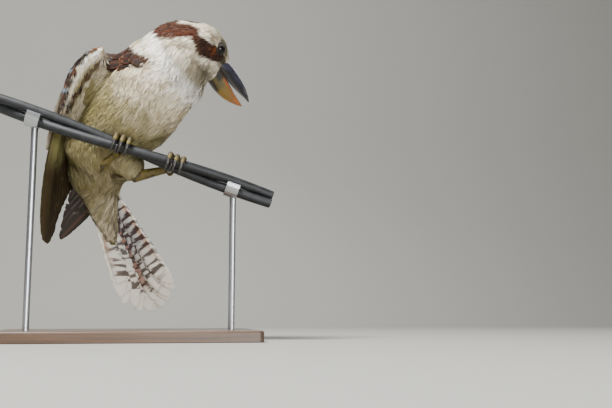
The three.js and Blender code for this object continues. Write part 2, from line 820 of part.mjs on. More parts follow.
const feetSpace = footSpace(legs.left).add(footSpace(legs.right));
const rightArmSpace = armSolid(rightWing.arm, rightWing.chordAhead, gap);
const flesh = joined([bodySolid(0), headSolid(0), lidSolid(-1), lidSolid(1)])
  .subtract(joined([cableSpace, feetSpace, rightArmSpace, eyeSpace, mouthSpace(), faceSpace(0)]));
const neckFoot = sectionFrame(9);
const neckTop = sectionFrame(11);
const neckCut = bodySections[8].at.clone().lerp(bodySections[9].at, 0.5);
const [torso, above] = parted(flesh, neckCut, neckFoot.headward);
const headCut = headPoint(-62, 0, 0);
const [neck, head] = parted(above, headCut, neckTop.headward.clone().add(headAhead).normalize());

const bodySpace = bodySolid(gap).add(headSolid(gap));
const billSpace = headSolid(gap).subtract(faceSpace(2 * gap));
place("torso", torso, materials.plumage);
place("neck", neck, materials.plumage);
place("head", head, materials.plumage);
place("bill_upper", upperBill.subtract(billSpace).subtract(nostrils()), materials.upperBill);
place("bill_lower", lowerBill.subtract(billSpace), materials.lowerBill);
place("eye_left", eyes.left, materials.eye);
place("eye_right", eyes.right, materials.eye);
const thighSpace = thighSolid(legs.left, gap).add(thighSolid(legs.right, gap));
const rightVanes = wingVanes(rightWing).add(shoulderSolid()).subtract(bodySpace);
const rightArm = armSolid(rightWing.arm, rightWing.chordAhead);
const leftVanes = wingVanes(leftWing).subtract(bodySpace);
const leftArm = armSolid(leftWing.arm, leftWing.chordAhead).subtract(bodySpace);
place("wing_right", rightVanes.add(rightArm).subtract(thighSpace), materials.darkPlumage);
place("wing_left", leftVanes.add(leftArm), materials.darkPlumage);
place("tail", tailSolid().subtract(bodySpace).subtract(thighSpace), materials.plumage);

for (const [side, leg] of Object.entries(legs)) {
  const other = side === "left" ? legs.right : legs.left;
  const shankWay = cablePoint(leg.foot, palmBack, 0).sub(leg.heel);
  const thigh = thighSolid(leg, 0).subtract(bodySpace).subtract(cableSpace).subtract(footSpace(other));
  const { foot, claws } = footAndClaws(leg);
  place("thigh_" + side, parted(thigh, leg.heel, shankWay)[0], materials.plumage);
  place("foot_" + side, parted(foot.subtract(cableSpace), leg.heel, shankWay)[1], materials.leg);
  claws.forEach((claw, i) => {
    const digit = i < toeSpreads.length ? String(i + 1) : "hind";
    place("claw_" + side + "_" + digit, claw.subtract(cableSpace), materials.claw);
  });
}

place("cable_front", conductorSolid(-1, 0), materials.cable);
place("cable_back", conductorSolid(1, 0), materials.cable);

// Stand: a flat base, two rods, and a cradle on each rod under the cable
const baseRings = [
  { inset: 0, z: 0 },
  { inset: 0, z: baseSize.z - baseChamfer },
  { inset: baseChamfer, z: baseSize.z },
].map(({ inset, z }) =>
  [[1, 1], [-1, 1], [-1, -1], [1, -1]].map(([x, y]) => {
    const p = V(baseCentre.x, baseCentre.y, z - perchHeight);
    return p.add(V(x * (baseSize.x / 2 - inset), y * (baseSize.y / 2 - inset), 0));
  }),
);
place("stand_base", loftSolid(baseRings), materials.base);

rodPlaces.forEach((x, i) => {
  const a = x / Math.cos(cableSlope);
  const axis = cablePoint(a, 0, 0);
  const cradle = new THREE.CylinderGeometry(cradleRadius, cradleRadius, cradleLength, 24);
  cradle.rotateZ(Math.PI / 2);
  cradle.rotateY(cableSlope).translate(axis.x, axis.y, axis.z);
  const below = halfSpace(along(axis, cableUp, 1), cableUp.clone().negate());
  const cup = solidOf(cradle).intersect(below).subtract(cableSpace);
  const foot = baseSize.z + gap - perchHeight;
  const top = axis.z - rodTopDepth;
  const rod = new THREE.CylinderGeometry(rodRadius, rodRadius, top - foot, 16);
  rod.rotateX(Math.PI / 2).translate(axis.x, axis.y, (top + foot) / 2);
  place("stand_rod_" + ["left", "right"][i], solidOf(rod).add(cup).subtract(cableSpace), materials.rod);
});

const root = new THREE.Group();
root.add(model);

export default root;
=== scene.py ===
"""A laughing kookaburra at life size on a short length of cable, for Blender 4.5.

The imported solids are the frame. One skin replaces the flesh, feathers are laid over it as
meshes, and the bill, eyes, legs, claws and cable get finer pieces in the same places.
"""

import math

import bmesh
import bpy
import numpy as np
from bpy.props import FloatProperty, FloatVectorProperty, IntProperty, PointerProperty
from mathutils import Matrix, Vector
from mathutils.bvhtree import BVHTree


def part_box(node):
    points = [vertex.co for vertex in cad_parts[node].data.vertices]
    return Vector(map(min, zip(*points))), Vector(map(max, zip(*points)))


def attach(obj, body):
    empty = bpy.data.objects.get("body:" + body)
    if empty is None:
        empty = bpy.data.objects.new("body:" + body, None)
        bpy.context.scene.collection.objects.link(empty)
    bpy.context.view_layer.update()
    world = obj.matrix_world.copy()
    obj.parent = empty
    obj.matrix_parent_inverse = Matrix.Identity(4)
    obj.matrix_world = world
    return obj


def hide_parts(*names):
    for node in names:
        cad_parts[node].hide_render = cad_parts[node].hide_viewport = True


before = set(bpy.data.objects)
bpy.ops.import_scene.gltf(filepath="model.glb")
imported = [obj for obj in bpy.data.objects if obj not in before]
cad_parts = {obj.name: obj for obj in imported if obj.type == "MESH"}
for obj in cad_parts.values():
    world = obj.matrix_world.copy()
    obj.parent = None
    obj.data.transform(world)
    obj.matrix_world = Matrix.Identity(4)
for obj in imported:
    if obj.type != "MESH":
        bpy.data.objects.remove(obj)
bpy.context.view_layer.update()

bl_info = {
    "name": "Kookaburra on a cable",
    "version": (1, 0, 0),
    "blender": (4, 5, 0),
    "location": "3D View > Sidebar > Kookaburra",
    "description": "Builds the plumage, bill, eyes, feet, cable, stand and studio of a museum model",
    "category": "Object",
}

# Lengths below are in millimetres from the perch point, the cable's axis between the feet.
PERCH = np.array([16.0, -38.0, 198.0])
MM = 0.001
INFINITE = math.inf


def unit(v):
    """Vectors of length one, along the last axis."""
    v = np.asarray(v, float)
    return v / np.maximum(np.linalg.norm(v, axis=-1, keepdims=True), 1e-9)


def across_to(v, way):
    """The part of v that is square to the unit vectors of way, made length one."""
    return unit(v - (v * way).sum(-1, keepdims=True) * way)


def ramp(x, low, high):
    t = np.clip((x - low) / (high - low), 0, 1)
    return t * t * (3 - 2 * t)


def curve_points(points, s):
    """Centripetal Catmull-Rom points at the shares s of the way through a list of points."""
    p = np.asarray(points, float)
    p = np.vstack([2 * p[0] - p[1], p, 2 * p[-1] - p[-2]])
    s = np.clip(np.atleast_1d(np.asarray(s, float)), 0, 1) * (len(p) - 3)
    i = np.minimum(s.astype(int), len(p) - 4)
    w = (s - i)[:, None]
    a, b, c, d = p[i], p[i + 1], p[i + 2], p[i + 3]
    knot = []
    for x, y in ((a, b), (b, c), (c, d)):
        knot.append(np.maximum(np.linalg.norm(y - x, axis=1)[:, None], 1e-6) ** 0.5)
    leave = ((b - a) / knot[0] - (c - a) / (knot[0] + knot[1]) + (c - b) / knot[1]) * knot[1]
    reach = ((c - b) / knot[1] - (d - b) / (knot[1] + knot[2]) + (d - c) / knot[2]) * knot[1]
    return b + leave * w + (3 * (c - b) - 2 * leave - reach) * w**2 + (2 * (b - c) + leave + reach) * w**3


def mottle(p, size, seed):
    """Smooth noise from 0 to 1 over places p, with one random value each size millimetres."""
    q = np.asarray(p, float) / size + seed * 17.31
    cell = np.floor(q).astype(np.int64)
    f = q - cell
    f = f * f * (3 - 2 * f)
    total = np.zeros(len(q))
    for dx in (0, 1):
        for dy in (0, 1):
            for dz in (0, 1):
                n = (cell[:, 0] + dx) * 73856093 ^ (cell[:, 1] + dy) * 19349663 ^ (cell[:, 2] + dz) * 83492791
                n = (n ^ (n >> 13)) * 1274126177
                value = ((n ^ (n >> 16)) & 0xFFFF) / 65535.0
                weight = (f[:, 0] if dx else 1 - f[:, 0]) * (f[:, 1] if dy else 1 - f[:, 1])
                total += value * weight * (f[:, 2] if dz else 1 - f[:, 2])
    return total


# Colours


def turns(count):
    """Angles round a ring."""
    return np.linspace(0, 2 * math.pi, count, endpoint=False)


def linear(code):
    """An sRGB hex colour as linear red, green and blue."""
    parts = [int(code[i : i + 2], 16) / 255 for i in (1, 3, 5)]
    return tuple(c / 12.92 if c <= 0.04045 else ((c + 0.055) / 1.055) ** 2.4 for c in parts)


def blend(a, b, share):
    """Colours a turned towards colours b by a share for each place."""
    share = np.asarray(share, float)[..., None]
    return np.asarray(a, float) * (1 - share) + np.asarray(b, float) * share


def painted(colour, *coats):
    """A colour with others laid over it in turn: each coat is a colour and its share at each place."""
    for coat, share in coats:
        colour = blend(colour, coat, share)
    return colour


WHITE = linear("#F7F3EA")
CREAM = linear("#E2D5B8")
BUFF = linear("#CDBE9E")
GREY_BROWN = linear("#8C8170")
OLIVE_BROWN = linear("#6F6446")
BROWN = linear("#4C3327")
DARK_BROWN = linear("#2A1D17")
BLACK_BROWN = linear("#17120F")
CHESTNUT = linear("#57301F")
RUFOUS = linear("#874722")
ORANGE_BUFF = linear("#C98A5A")
PALE_BLUE = linear("#A9BFCC")
PAINTED_SHADOW_GREY = linear("#6E7079")
PAINTED_SHADOW_BROWN = linear("#4A4348")
GREEN_LIGHT_OLIVE = linear("#6E652B")
STREAK_BROWN = linear("#9A7B55")
UNDER_BROWN = linear("#453D22")
UNDER_PALE = linear("#8F8A58")
HORN_SKY_REFLECTION = linear("#3B3B4C")
HORN_WORN = linear("#A89A7C")
HORN_BLACK = linear("#141315")
HORN_YELLOW = linear("#8F6F22")
HORN_OLIVE = linear("#5A4F2A")
HORN_ORANGE = linear("#9A5216")
MOUTH_DARK = linear("#2A1714")
MOUTH_PINK = linear("#7A4438")
EYE_BLACK = linear("#060505")
LID_GREY = linear("#4A4034")
LID_DARK = linear("#1E1712")
LEG_OLIVE = linear("#5E5126")
LEG_YELLOW = linear("#7C6A26")
LEG_DARK = linear("#26200F")
CLAW_BLACK = linear("#14110F")
CLAW_GREY = linear("#3B352F")
CHALK_GREY = linear("#3A3F44")
ALUMINIUM = linear("#C9CACB")

# The bird's forms, from the same sizes as the solids

HEAD_AHEAD = unit([0.66, 0.607, -0.444])
HEAD_UP = across_to(np.array([0.632, -0.128, 0.764]), HEAD_AHEAD)
HEAD_RIGHT = np.cross(HEAD_AHEAD, HEAD_UP)
BILL_BASE = np.array([85.5, 1.2, 107.8])
EYE_RADIUS = 6.2


def head_point(ahead, right, up):
    return BILL_BASE + HEAD_AHEAD * ahead + HEAD_RIGHT * right + HEAD_UP * up


def head_coords(p):
    """How far ahead, right and up of the bill's base the places p lie."""
    w = np.asarray(p) - BILL_BASE
    return w @ HEAD_AHEAD, w @ HEAD_RIGHT, w @ HEAD_UP


def eye_centre(side):
    return head_point(-31.2, side * 17.2, 0)


TORSO_TURN = 212.0
# Middle of each body section from rump to neck, and the heading of the bird's right side.
BODY_SECTIONS = (
    (-57, 76, -42, 0),
    (-57, 70, -17, 0),
    (-52, 62, 5, 0),
    (-43, 53, 27, 0),
    (-28, 40, 46, 0),
    (-13, 28, 60, 0),
    (-1, 16, 75, 4),
    (9, 4, 87, 16),
    (23, -6, 98, 36),
    (34, -13, 106, 56),
    (45, -20, 113, 74),
)

# Each wing: its arm's leading edge, with the chord and the thickness down it and the way that the
# chord runs, the roots and tips of its flight feathers, the way that its upper side faces, and how
# far a feather bows over its reach
RIGHT_WING = {
    "edge": [(-49, -4, 118), (-64, -5, 111), (-83, -2, 89), (-92, 4, 62), (-96, 10, 43), (-98, 13, 36)],
    "chord": [16, 43, 56, 53, 46, 40],
    "thick": [9, 20, 23, 17, 13, 9],
    "chord_ahead": (0.5, 0.86, 0),
    "roots": [(-84, 9, 74), (-79, 17, 78), (-74, 26, 80), (-69, 36, 76), (-64, 45, 68)],
    "tips": [
        (-109, 44, -90),
        (-106, 53, -92),
        (-97, 59, -68),
        (-89, 64, -50),
        (-82, 68, -36),
        (-77, 72, -30),
        (-72, 75, -20),
        (-68, 78, -8),
        (-64, 79, 6),
    ],
    "over": (-0.95, 0.05, 0.1),
    "bow": 10,
    "reach": 172,
    "count": 19,
    "primaries": 10,
}
LEFT_WING = {
    "edge": [(38, 33, 96), (31, 49, 83), (16, 69, 58), (0, 81, 36), (-6, 84, 27)],
    "chord": [28, 48, 60, 52, 42],
    "thick": [14, 20, 20, 16, 10],
    "chord_ahead": (-0.95, 0.2, 0),
    "roots": [(14, 68, 50), (6, 70, 54), (-2, 71, 57), (-11, 72, 58), (-20, 73, 58)],
    "tips": [
        (-99, 107, -82),
        (-97, 106, -63),
        (-93, 104, -45),
        (-88, 102, -31),
        (-82, 99, -21),
        (-76, 96, -12),
        (-70, 92, -3),
        (-65, 88, 7),
        (-60, 84, 17),
    ],
    "over": (-0.1, 0.9, 0.4),
    "bow": 10,
    "reach": 190,
    "count": 15,
    "primaries": 8,
}
# The right shoulder outwards from the neck: place, half height, and half depths in front and behind
SHOULDER = [
    ((2, 24, 98), 18, 12, 18),
    ((-22, 24, 97), 23, 12, 20),
    ((-42, 23, 94), 25, 12, 18),
    ((-58, 21, 91), 25, 11, 14),
    ((-70, 19, 87), 20, 8, 8),
    ((-76, 18, 85), 9, 4, 4),
]

TAIL_ROOT = np.array([-55.5, 74.0, -22.0])
TAIL_DOWN = unit([0.44, 0.21, -0.875])
TAIL_LEFT = across_to(np.array([0.96, -0.05, 0.24]), TAIL_DOWN)
TAIL_UNDER = np.cross(TAIL_DOWN, TAIL_LEFT)
TAIL_LENGTH = 172.0
# Of the right and left halves: degrees out to the last feather, and its length against the middle pair's.
TAIL_SPREADS = (8.6, 7.3)
OUTER_TAIL_SHARES = (0.81, 0.88)
TAIL_FEATHERS = 12
TAIL_PAIR_STEP = 0.07
TAIL_WIDTH = 20.0
# Distance between the roots of the back's long feathers
BACK_SPACING = 6.5
# Undertail coverts: distance down, half width, depth under and over, and how far to the left
TAIL_COVERTS = (
    (0, 22, 20, 16, 0),
    (18, 19.5, 19, 12, -2),
    (36, 14.5, 13, 8, -6),
    (54, 9, 8, 5, -9),
    (70, 3, 5, 2, -11),
)

# Each leg: its foot's place along the cable, its heel, and the thigh's line down to the heel
LEGS = {
    "left": {
        "foot": 30.0,
        "heel": (-11, 32, -17),
        "hip": [(-33, 43, 16), (-23, 36, 2), (-15, 33, -11), (-10.5, 32, -17.5)],
    },
    "right": {
        "foot": -30.0,
        "heel": (-52, 35, -9),
        "hip": [(-72, 48, 26), (-67, 38, 9), (-58, 34, -4), (-51.5, 34.5, -9.5)],
    },
}
THIGH_GIRTHS = {"left": (23, 20, 13.5, 7.5), "right": (23, 19, 11, 5.5)}

CABLE_SLOPE = math.radians(18.1)
CABLE_AHEAD = np.array([math.cos(CABLE_SLOPE), 0, -math.sin(CABLE_SLOPE)])
CABLE_UP = np.array([math.sin(CABLE_SLOPE), 0, math.cos(CABLE_SLOPE)])
CABLE_BACK = np.array([0.0, 1.0, 0.0])
CABLE_START, CABLE_END = -168.0, 142.0
CONDUCTOR_RADIUS = 5.2
CABLE_PITCH = 440.0


def tail_point(down, left, under):
    return TAIL_ROOT + TAIL_DOWN * down + TAIL_LEFT * left + TAIL_UNDER * under


def cable_point(a, back, up):
    return CABLE_AHEAD * a + CABLE_BACK * back + CABLE_UP * up


class Spine:
    """The line that the plumage follows from the bill to the tail, with a frame at each point."""

    def __init__(self):
        sections = np.array(BODY_SECTIONS, float)
        middles = sections[:, :3]
        ahead = unit(np.gradient(middles, axis=0))
        angle = np.radians(TORSO_TURN + sections[:, 3])
        right = across_to(np.stack([np.cos(angle), np.sin(angle), 0 * angle], 1), ahead)
        belly = np.cross(ahead, right)
        head = [head_point(a, 0, u) for a, u in ((2, -10), (-14, -9), (-30, -11), (-46, -14))]
        tail = [tail_point(d, 0, 2) for d in (20, 45, 75)]
        points = np.vstack([head, middles[::-1], tail])
        rights = np.vstack([[HEAD_RIGHT] * 4, right[::-1], [-TAIL_LEFT] * 3])
        bellies = np.vstack([[-HEAD_UP] * 4, belly[::-1], [TAIL_UNDER] * 3])
        s = np.linspace(0, 1, 140)
        self.points = curve_points(points, s)
        self.way = unit(np.gradient(self.points, axis=0))
        self.right = across_to(curve_points(rights, s), self.way)
        self.belly = across_to(curve_points(bellies, s), self.way)
        self.s = s

    def lie(self, p, spread=16.0):
        """The way that feathers lie at the places p, before it is laid on the surface."""
        return unit(self.weights(p, spread) @ self.way)

    def weights(self, p, spread):
        """How near each place lies to each point of the line, the nearest being 1."""
        d2 = ((p[:, None, :] - self.points[None]) ** 2).sum(-1)
        return np.exp(-(d2 - d2.min(1, keepdims=True)) / (2 * spread**2))

    def coords(self, p):
        """Share of the way along the spine, and the angle round it from the belly to the right."""
        w = self.weights(p, 8.0)
        w /= w.sum(1, keepdims=True)
        centre, right, belly = w @ self.points, w @ self.right, w @ self.belly
        out = p - centre
        return w @ self.s, np.arctan2((out * right).sum(1), (out * belly).sum(1))


SPINE = Spine()


class Arm:
    """The covert-clad arm of a wing: a flat oval along its leading edge."""

    def __init__(self, wing):
        s = np.linspace(0, 1, 40)
        self.edge = curve_points(wing["edge"], s)
        place = s * (len(wing["chord"]) - 1)
        self.half_chord = np.interp(place, range(len(wing["chord"])), wing["chord"]) / 2
        self.half_thick = np.interp(place, range(len(wing["thick"])), wing["thick"]) / 2
        self.down = unit(np.gradient(self.edge, axis=0))
        self.chord_way = across_to(np.tile(unit(wing["chord_ahead"]), (len(s), 1)), self.down)
        self.normal = np.cross(self.down, self.chord_way)
        if (self.normal @ np.array(wing["over"])).mean() < 0:
            self.normal = -self.normal
        self.middle = self.edge + self.chord_way * self.half_chord[:, None]
        self.s = s

    def coords(self, p):
        """Share down the arm, distance behind the leading edge, height over the middle, ovalness."""
        out = p[:, None, :] - self.middle[None]
        along = (out * self.down[None]).sum(-1)
        i = np.abs(along).argmin(1)
        out = p - self.middle[i]
        chord = (out * self.chord_way[i]).sum(1)
        high = (out * self.normal[i]).sum(1)
        oval = np.hypot(chord / self.half_chord[i], high / self.half_thick[i])
        off_end = np.abs((out * self.down[i]).sum(1)) > 4
        oval[off_end] = 9
        return self.s[i], chord + self.half_chord[i], high, oval

    def rings(self, count=24):
        turn = turns(count)
        across = self.chord_way[:, None] * (self.half_chord[:, None] * np.cos(turn))[..., None]
        over = self.normal[:, None] * (self.half_thick[:, None] * np.sin(turn))[..., None]
        return self.middle[:, None] + across + over


ARMS = {"right": Arm(RIGHT_WING), "left": Arm(LEFT_WING)}

# The plumage's markings, shared by the skin and every feather on it

# The dark stripe through the eye: how far behind the bill, its middle's height and half width
STRIPE = np.array(
    [
        (-84, -30, 6),
        (-80, -27, 7),
        (-75, -19, 8.5),
        (-69, -11.5, 6.4),
        (-62, -11.2, 4.8),
        (-56, -13.5, 7.4),
        (-50, -13.5, 9),
        (-45, -13.2, 9.2),
        (-39, -10, 8.6),
        (-33, -8.5, 7.8),
        (-25, -6, 5.6),
        (-18, -5, 4),
        (-10, -6, 2),
    ]
)
# The crown's pale ridge, by how far behind the bill and how far to the right of the head's middle
RIDGE = np.array([(-84, -30), (-78, -19), (-74, -10), (-70, -4), (-66, 2), (-60, 7), (-54, 10), (-30, 6)])
# The lower edge of the dark nape
NAPE_EDGE = np.array([(-84, -40), (-80, -35), (-75, -28), (-69, -18), (-62, -15.5)])
# The back's dark feathers: where they begin along the spine, by the angle from the belly,
# and the angle at which they end on the right flank, by the place along the spine
MANTLE_FRONT = np.array([(88, 0.352), (98, 0.366), (110, 0.381), (126, 0.396), (180, 0.42)])
MANTLE_EDGE = np.array(
    [(0.36, 86), (0.39, 93), (0.41, 99), (0.425, 107),
        (0.455, 125), (0.5, 150), (0.58, 150), (0.66, 128), (0.9, 122)]
)
# On the left, where the wing lies close, they come further round than this angle everywhere
MANTLE_LEFT_EDGE = 108
# Sizes and seeds of the fine, middle and broad noise in the plumage
PLUMAGE_NOISE = ((1.6, 3), (4.0, 5), (13.0, 7))


def along_line(x, line):
    """The heights of a line of points at the places x."""
    return np.interp(x, line[:, 0], line[:, 1])


def mantle_at(share, turned, noise):
    """How far places belong to the dark back, from 0 to 1."""
    degrees = np.abs(turned)
    edge = along_line(share, MANTLE_EDGE)
    edge = np.where(turned > 0, edge, np.minimum(edge, MANTLE_LEFT_EDGE)) + (noise - 0.5) * 9
    behind = share - along_line(degrees, MANTLE_FRONT) + (noise - 0.5) * 0.016
    return ramp(degrees, edge - 3, edge + 3) * ramp(behind, -0.004, 0.004)


def body_colours(p, share, turned, fine, middle, broad):
    """Plumage from neck to tail: white, cream, painted olive light and shade below, dark over the back."""
    breast = ramp(share, 0.31, 0.38) * ramp(share, 0.62, 0.45)
    # Fine brown bars cross the breast and the flanks.
    bars = ramp(mottle(p * np.array([1, 1, 2.2]), 1.3, 19), 0.62, 0.76)
    flank = ramp(share, 0.44, 0.52) * ramp(turned, 30, 70)
    # The belly is painted olive, most of all at the sides and towards the vent, as painted green light.
    belly = ramp(share + (broad - 0.5) * 0.08, 0.43, 0.56)
    way = p - TAIL_ROOT
    down, left, under = way @ TAIL_DOWN, way @ TAIL_LEFT, way @ TAIL_UNDER
    under_tail = ramp(down, 4, 40)
    long_noise = mottle(np.stack([down * 0.12, left, under], 1), 2.2, 17)
    # The upper tail coverts are dark brown with rufous.
    over_tail = ramp(under, 1, -1.5) * ramp(down, -4, 2)
    over_tail *= ramp(share, 0.6, 0.7)
    vent = ramp(share, 0.70, 0.80) * (1 - over_tail)
    dark = painted(
        BROWN,
        (DARK_BROWN, ramp(middle, 0.3, 0.7)),
        (CHESTNUT, ramp(broad, 0.5, 0.8) * 0.45),
    )
    return painted(
        CREAM,
        (WHITE, ramp(share, 0.44, 0.32)),
        (BUFF, breast * ramp(middle, 0.42, 0.7) * 0.8),
        (GREY_BROWN, breast * ramp(fine, 0.6, 0.8) * ramp(broad, 0.3, 0.65) * 0.8),
        (STREAK_BROWN, ramp(share, 0.33, 0.4) * ramp(share, 0.62, 0.5) * bars * 0.55),
        (GREY_BROWN, flank * (0.3 + 0.45 * ramp(middle, 0.4, 0.8))),
        (GREEN_LIGHT_OLIVE, belly * (0.62 + 0.3 * broad)),
        # Painted shade darkens the lower belly and the vent.
        (OLIVE_BROWN, ramp(share, 0.5, 0.75) * ramp(middle, 0.3, 0.7) * 0.55),
        (CREAM, under_tail * ramp(long_noise, 0.45, 0.65) * 0.8),
        (GREY_BROWN, under_tail * ramp(long_noise, 0.4, 0.2) * 0.8),
        (blend(DARK_BROWN, RUFOUS, ramp(middle, 0.45, 0.7) * 0.6), over_tail),
        (GREY_BROWN, vent * ramp(fine, 0.5, 0.75) * 0.55),
        (dark, mantle_at(share, turned, middle)),
    )


def head_band(a, r, u, share, fine, middle):
    """The dark band through the eye and over the nape: its colour, and its share at each place."""
    rough = (middle - 0.5) * 5 + (fine - 0.5) * 3
    half = np.interp(a, STRIPE[:, 0], STRIPE[:, 2])
    stripe = ramp(half + rough * 0.5 - np.abs(u - along_line(a, STRIPE)), -0.8, 1.0)
    stripe *= ramp(a, -83, -80) * ramp(a, -8, -14) * ramp(share, 0.36, 0.33)
    ridge = r - along_line(a, RIDGE)
    nape = ramp(a + rough * 0.6, -60, -64) * ramp(a + rough * 0.4, -84, -81)
    nape *= ramp(u - along_line(a, NAPE_EDGE) + rough * 0.7, -1.5, 1) * ramp(share, 0.34, 0.31)
    nape *= ramp(np.abs(ridge) + rough * 0.5, 5.5, 7.5)
    far = ramp(-ridge + rough * 0.3, 5.0, 6.5) * ramp(a, -56, -60) * ramp(u, -14, -8)
    behind_eye = np.exp(-(((a + 40) / 4.5) ** 2) - ((u + 7) / 6) ** 2)
    band = painted(
        DARK_BROWN,
        (BROWN, ramp(fine, 0.3, 0.8)),
        (blend(CHESTNUT, BROWN, ramp(middle, 0.25, 0.7)), ramp(a, -56, -66)),
        (RUFOUS, behind_eye * ramp(fine, 0.25, 0.6)),
        # Painted green light also turns the stripe olive in front of the eye.
        (OLIVE_BROWN, ramp(a, -24, -19) * 0.7),
        (BLACK_BROWN, far * 0.7),
    )
    return band, np.maximum(np.maximum(stripe, nape), far)


def plumage_colours(p):
    """Linear colour of the small feathers at the places p."""
    a, r, u = head_coords(p)
    share, angle = SPINE.coords(p)
    turned = np.degrees(angle)
    fine, middle, broad = (mottle(p, size, seed) for size, seed in PLUMAGE_NOISE)
    on_head = ramp(share, 0.30, 0.26)
    streak = ramp(mottle(np.stack([a * 0.2, r, u], 1), 1.1, 11), 0.5, 0.7)
    brow = np.exp(-(((a + 50) / 9) ** 2) - ((u - 1) / 5) ** 2)
    crown = on_head * ramp(u, -5, 1)
    round_eye = np.hypot(a + 29, (u - 2) * 1.15)
    # Painted green light, reflected onto the head, turns the brow over and behind the eye olive.
    green_light_over_eye = ramp(round_eye, 15, 9) * ramp(u * 0.8 + a + 31, -4, 5) * (np.abs(r) > 5)
    green_light_over_eye = np.maximum(green_light_over_eye, np.exp(-(((a + 46) / 6) ** 2) - ((u + 2) / 2.4) ** 2) * 0.9)
    cheek = on_head * ramp(u, -17, -24) * ramp(middle, 0.35, 0.75)
    throat = on_head * ramp(u, -24, -31) * ramp(fine, 0.35, 0.65) * ramp(a, -62, -40)
    neck = ramp(share, 0.26, 0.3) * ramp(share, 0.38, 0.34) * ramp(np.abs(turned), 80, 40)
    gape = np.exp(-(((a + 20) / 4) ** 2) - ((u + 12) / 2.2) ** 2)
    colour = painted(
        body_colours(p, share, turned, fine, middle, broad),
        (CREAM, on_head * 0.7),
        (STREAK_BROWN, crown * streak * (0.3 + 0.7 * brow)),
        (OLIVE_BROWN, green_light_over_eye * 0.8),
        (BUFF, cheek * 0.75),
        (GREY_BROWN, on_head * ramp(u, -24, -32) * ramp(broad, 0.35, 0.65) * 0.6),
        (GREY_BROWN, on_head * ramp(u, -17, -25) * ramp(middle, 0.42, 0.66) * 0.6),
        (OLIVE_BROWN, throat * 0.85),
        (OLIVE_BROWN, neck * ramp(middle, 0.45, 0.75) * 0.5),
        head_band(a, r, u, share, fine, middle),
        (LID_GREY, gape * 0.7),
    )
    return colour * (0.93 + 0.14 * fine[:, None])


# Mesh tools


def build_object(name, vertices, faces, material, layers=None, smooth=True):
    """A mesh object from arrays in millimetres. Layers hold colours and UV maps for each vertex."""
    mesh = bpy.data.meshes.new(name)
    places = ((np.asarray(vertices) + PERCH) * MM).astype(np.float32)
    faces = [np.asarray(f, np.int32) for f in faces if len(f)]
    corners = np.concatenate([f.ravel() for f in faces])
    sides = np.concatenate([np.full(len(f), f.shape[1]) for f in faces])
    mesh.vertices.add(len(places))
    mesh.vertices.foreach_set("co", places.ravel())
    mesh.loops.add(len(corners))
    mesh.loops.foreach_set("vertex_index", corners)
    mesh.polygons.add(len(sides))
    mesh.polygons.foreach_set("loop_start", np.concatenate([[0], np.cumsum(sides)[:-1]]).astype(np.int32))
    mesh.polygons.foreach_set("use_smooth", np.full(len(sides), smooth))
    mesh.update(calc_edges=True)
    for layer, values in (layers or {}).items():
        values = np.asarray(values, np.float32)
        if values.shape[1] == 2:
            uv = mesh.uv_layers.new(name=layer)
            uv.data.foreach_set("uv", values[corners].ravel())
        else:
            attribute = mesh.color_attributes.new(name=layer, type="FLOAT_COLOR", domain="POINT")
            values = np.hstack([values, np.ones((len(values), 1))]).astype(np.float32)
            attribute.data.foreach_set("color", values.ravel())
    mesh.materials.append(material)
    piece = bpy.data.objects.new(name, mesh)
    bpy.context.collection.objects.link(piece)
    return piece


def face_outwards(piece):
    work = bmesh.new()
    work.from_mesh(piece.data)
    bmesh.ops.recalc_face_normals(work, faces=work.faces)
    work.to_mesh(piece.data)
    work.free()


def keep(piece, slot, *nodes):
    """The piece moves with the frame and stands for these nodes, which it hides. The slot is not used."""
    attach(piece, "root")
    if nodes:
        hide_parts(*nodes)
    return piece


def add_piece(name, shape, material, slot, nodes=(), colours=None, smooth=True):
    """A closed piece from vertices and faces, that turns outwards and stands for these nodes."""
    layers = None if colours is None else {"Plumage": colours}
    piece = build_object(name, *shape, material, layers, smooth)
    face_outwards(piece)
    return keep(piece, slot, *nodes)


def loft(rings, closed_ends=True):
    """Vertices and faces of a tube through rings of equal point counts, with both ends closed."""
    rings = np.asarray(rings, float)
    rows, count = rings.shape[:2]
    index = np.arange(rows * count).reshape(rows, count)
    near, far = index[:-1], index[1:]
    quads = np.stack([near, np.roll(near, -1, 1), np.roll(far, -1, 1), far], -1).reshape(-1, 4)
    if not closed_ends:
        return rings.reshape(-1, 3), [quads]
    ends = np.array([rings[0].mean(0), rings[-1].mean(0)])
    first = np.full(count, rows * count)
    start = np.stack([first, np.roll(index[0], -1), index[0]], -1)
    finish = np.stack([first + 1, index[-1], np.roll(index[-1], -1)], -1)
    return np.vstack([rings.reshape(-1, 3), ends]), [quads, np.vstack([start, finish])]


def joined(parts):
    """Several (vertices, faces) pairs as one."""
    vertices, quads, triangles, offset = [], [], [], 0
    for points, faces in parts:
        vertices.append(points)
        for f in faces:
            (quads if f.shape[1] == 4 else triangles).append(np.asarray(f) + offset)
        offset += len(points)
    faces = [np.vstack(group) for group in (quads, triangles) if group]
    return np.vstack(vertices), faces


def ovals(centres, sides, fronts, wide, ahead, behind, count=32):
    """Rings with a half width to either side, and two half depths."""
    turn = turns(count)
    cos, sin = np.cos(turn), np.sin(turn)
    depth = np.where(sin > 0, np.asarray(ahead)[:, None], np.asarray(behind)[:, None])
    across = sides[:, None] * (np.asarray(wide)[:, None] * cos)[..., None]
    return centres[:, None] + across + fronts[:, None] * (depth * sin)[..., None]


def resample(columns, steps):
    """Rows of numbers, smoothly refined to a count of steps."""
    return curve_points(np.asarray(columns, float), np.linspace(0, 1, steps))


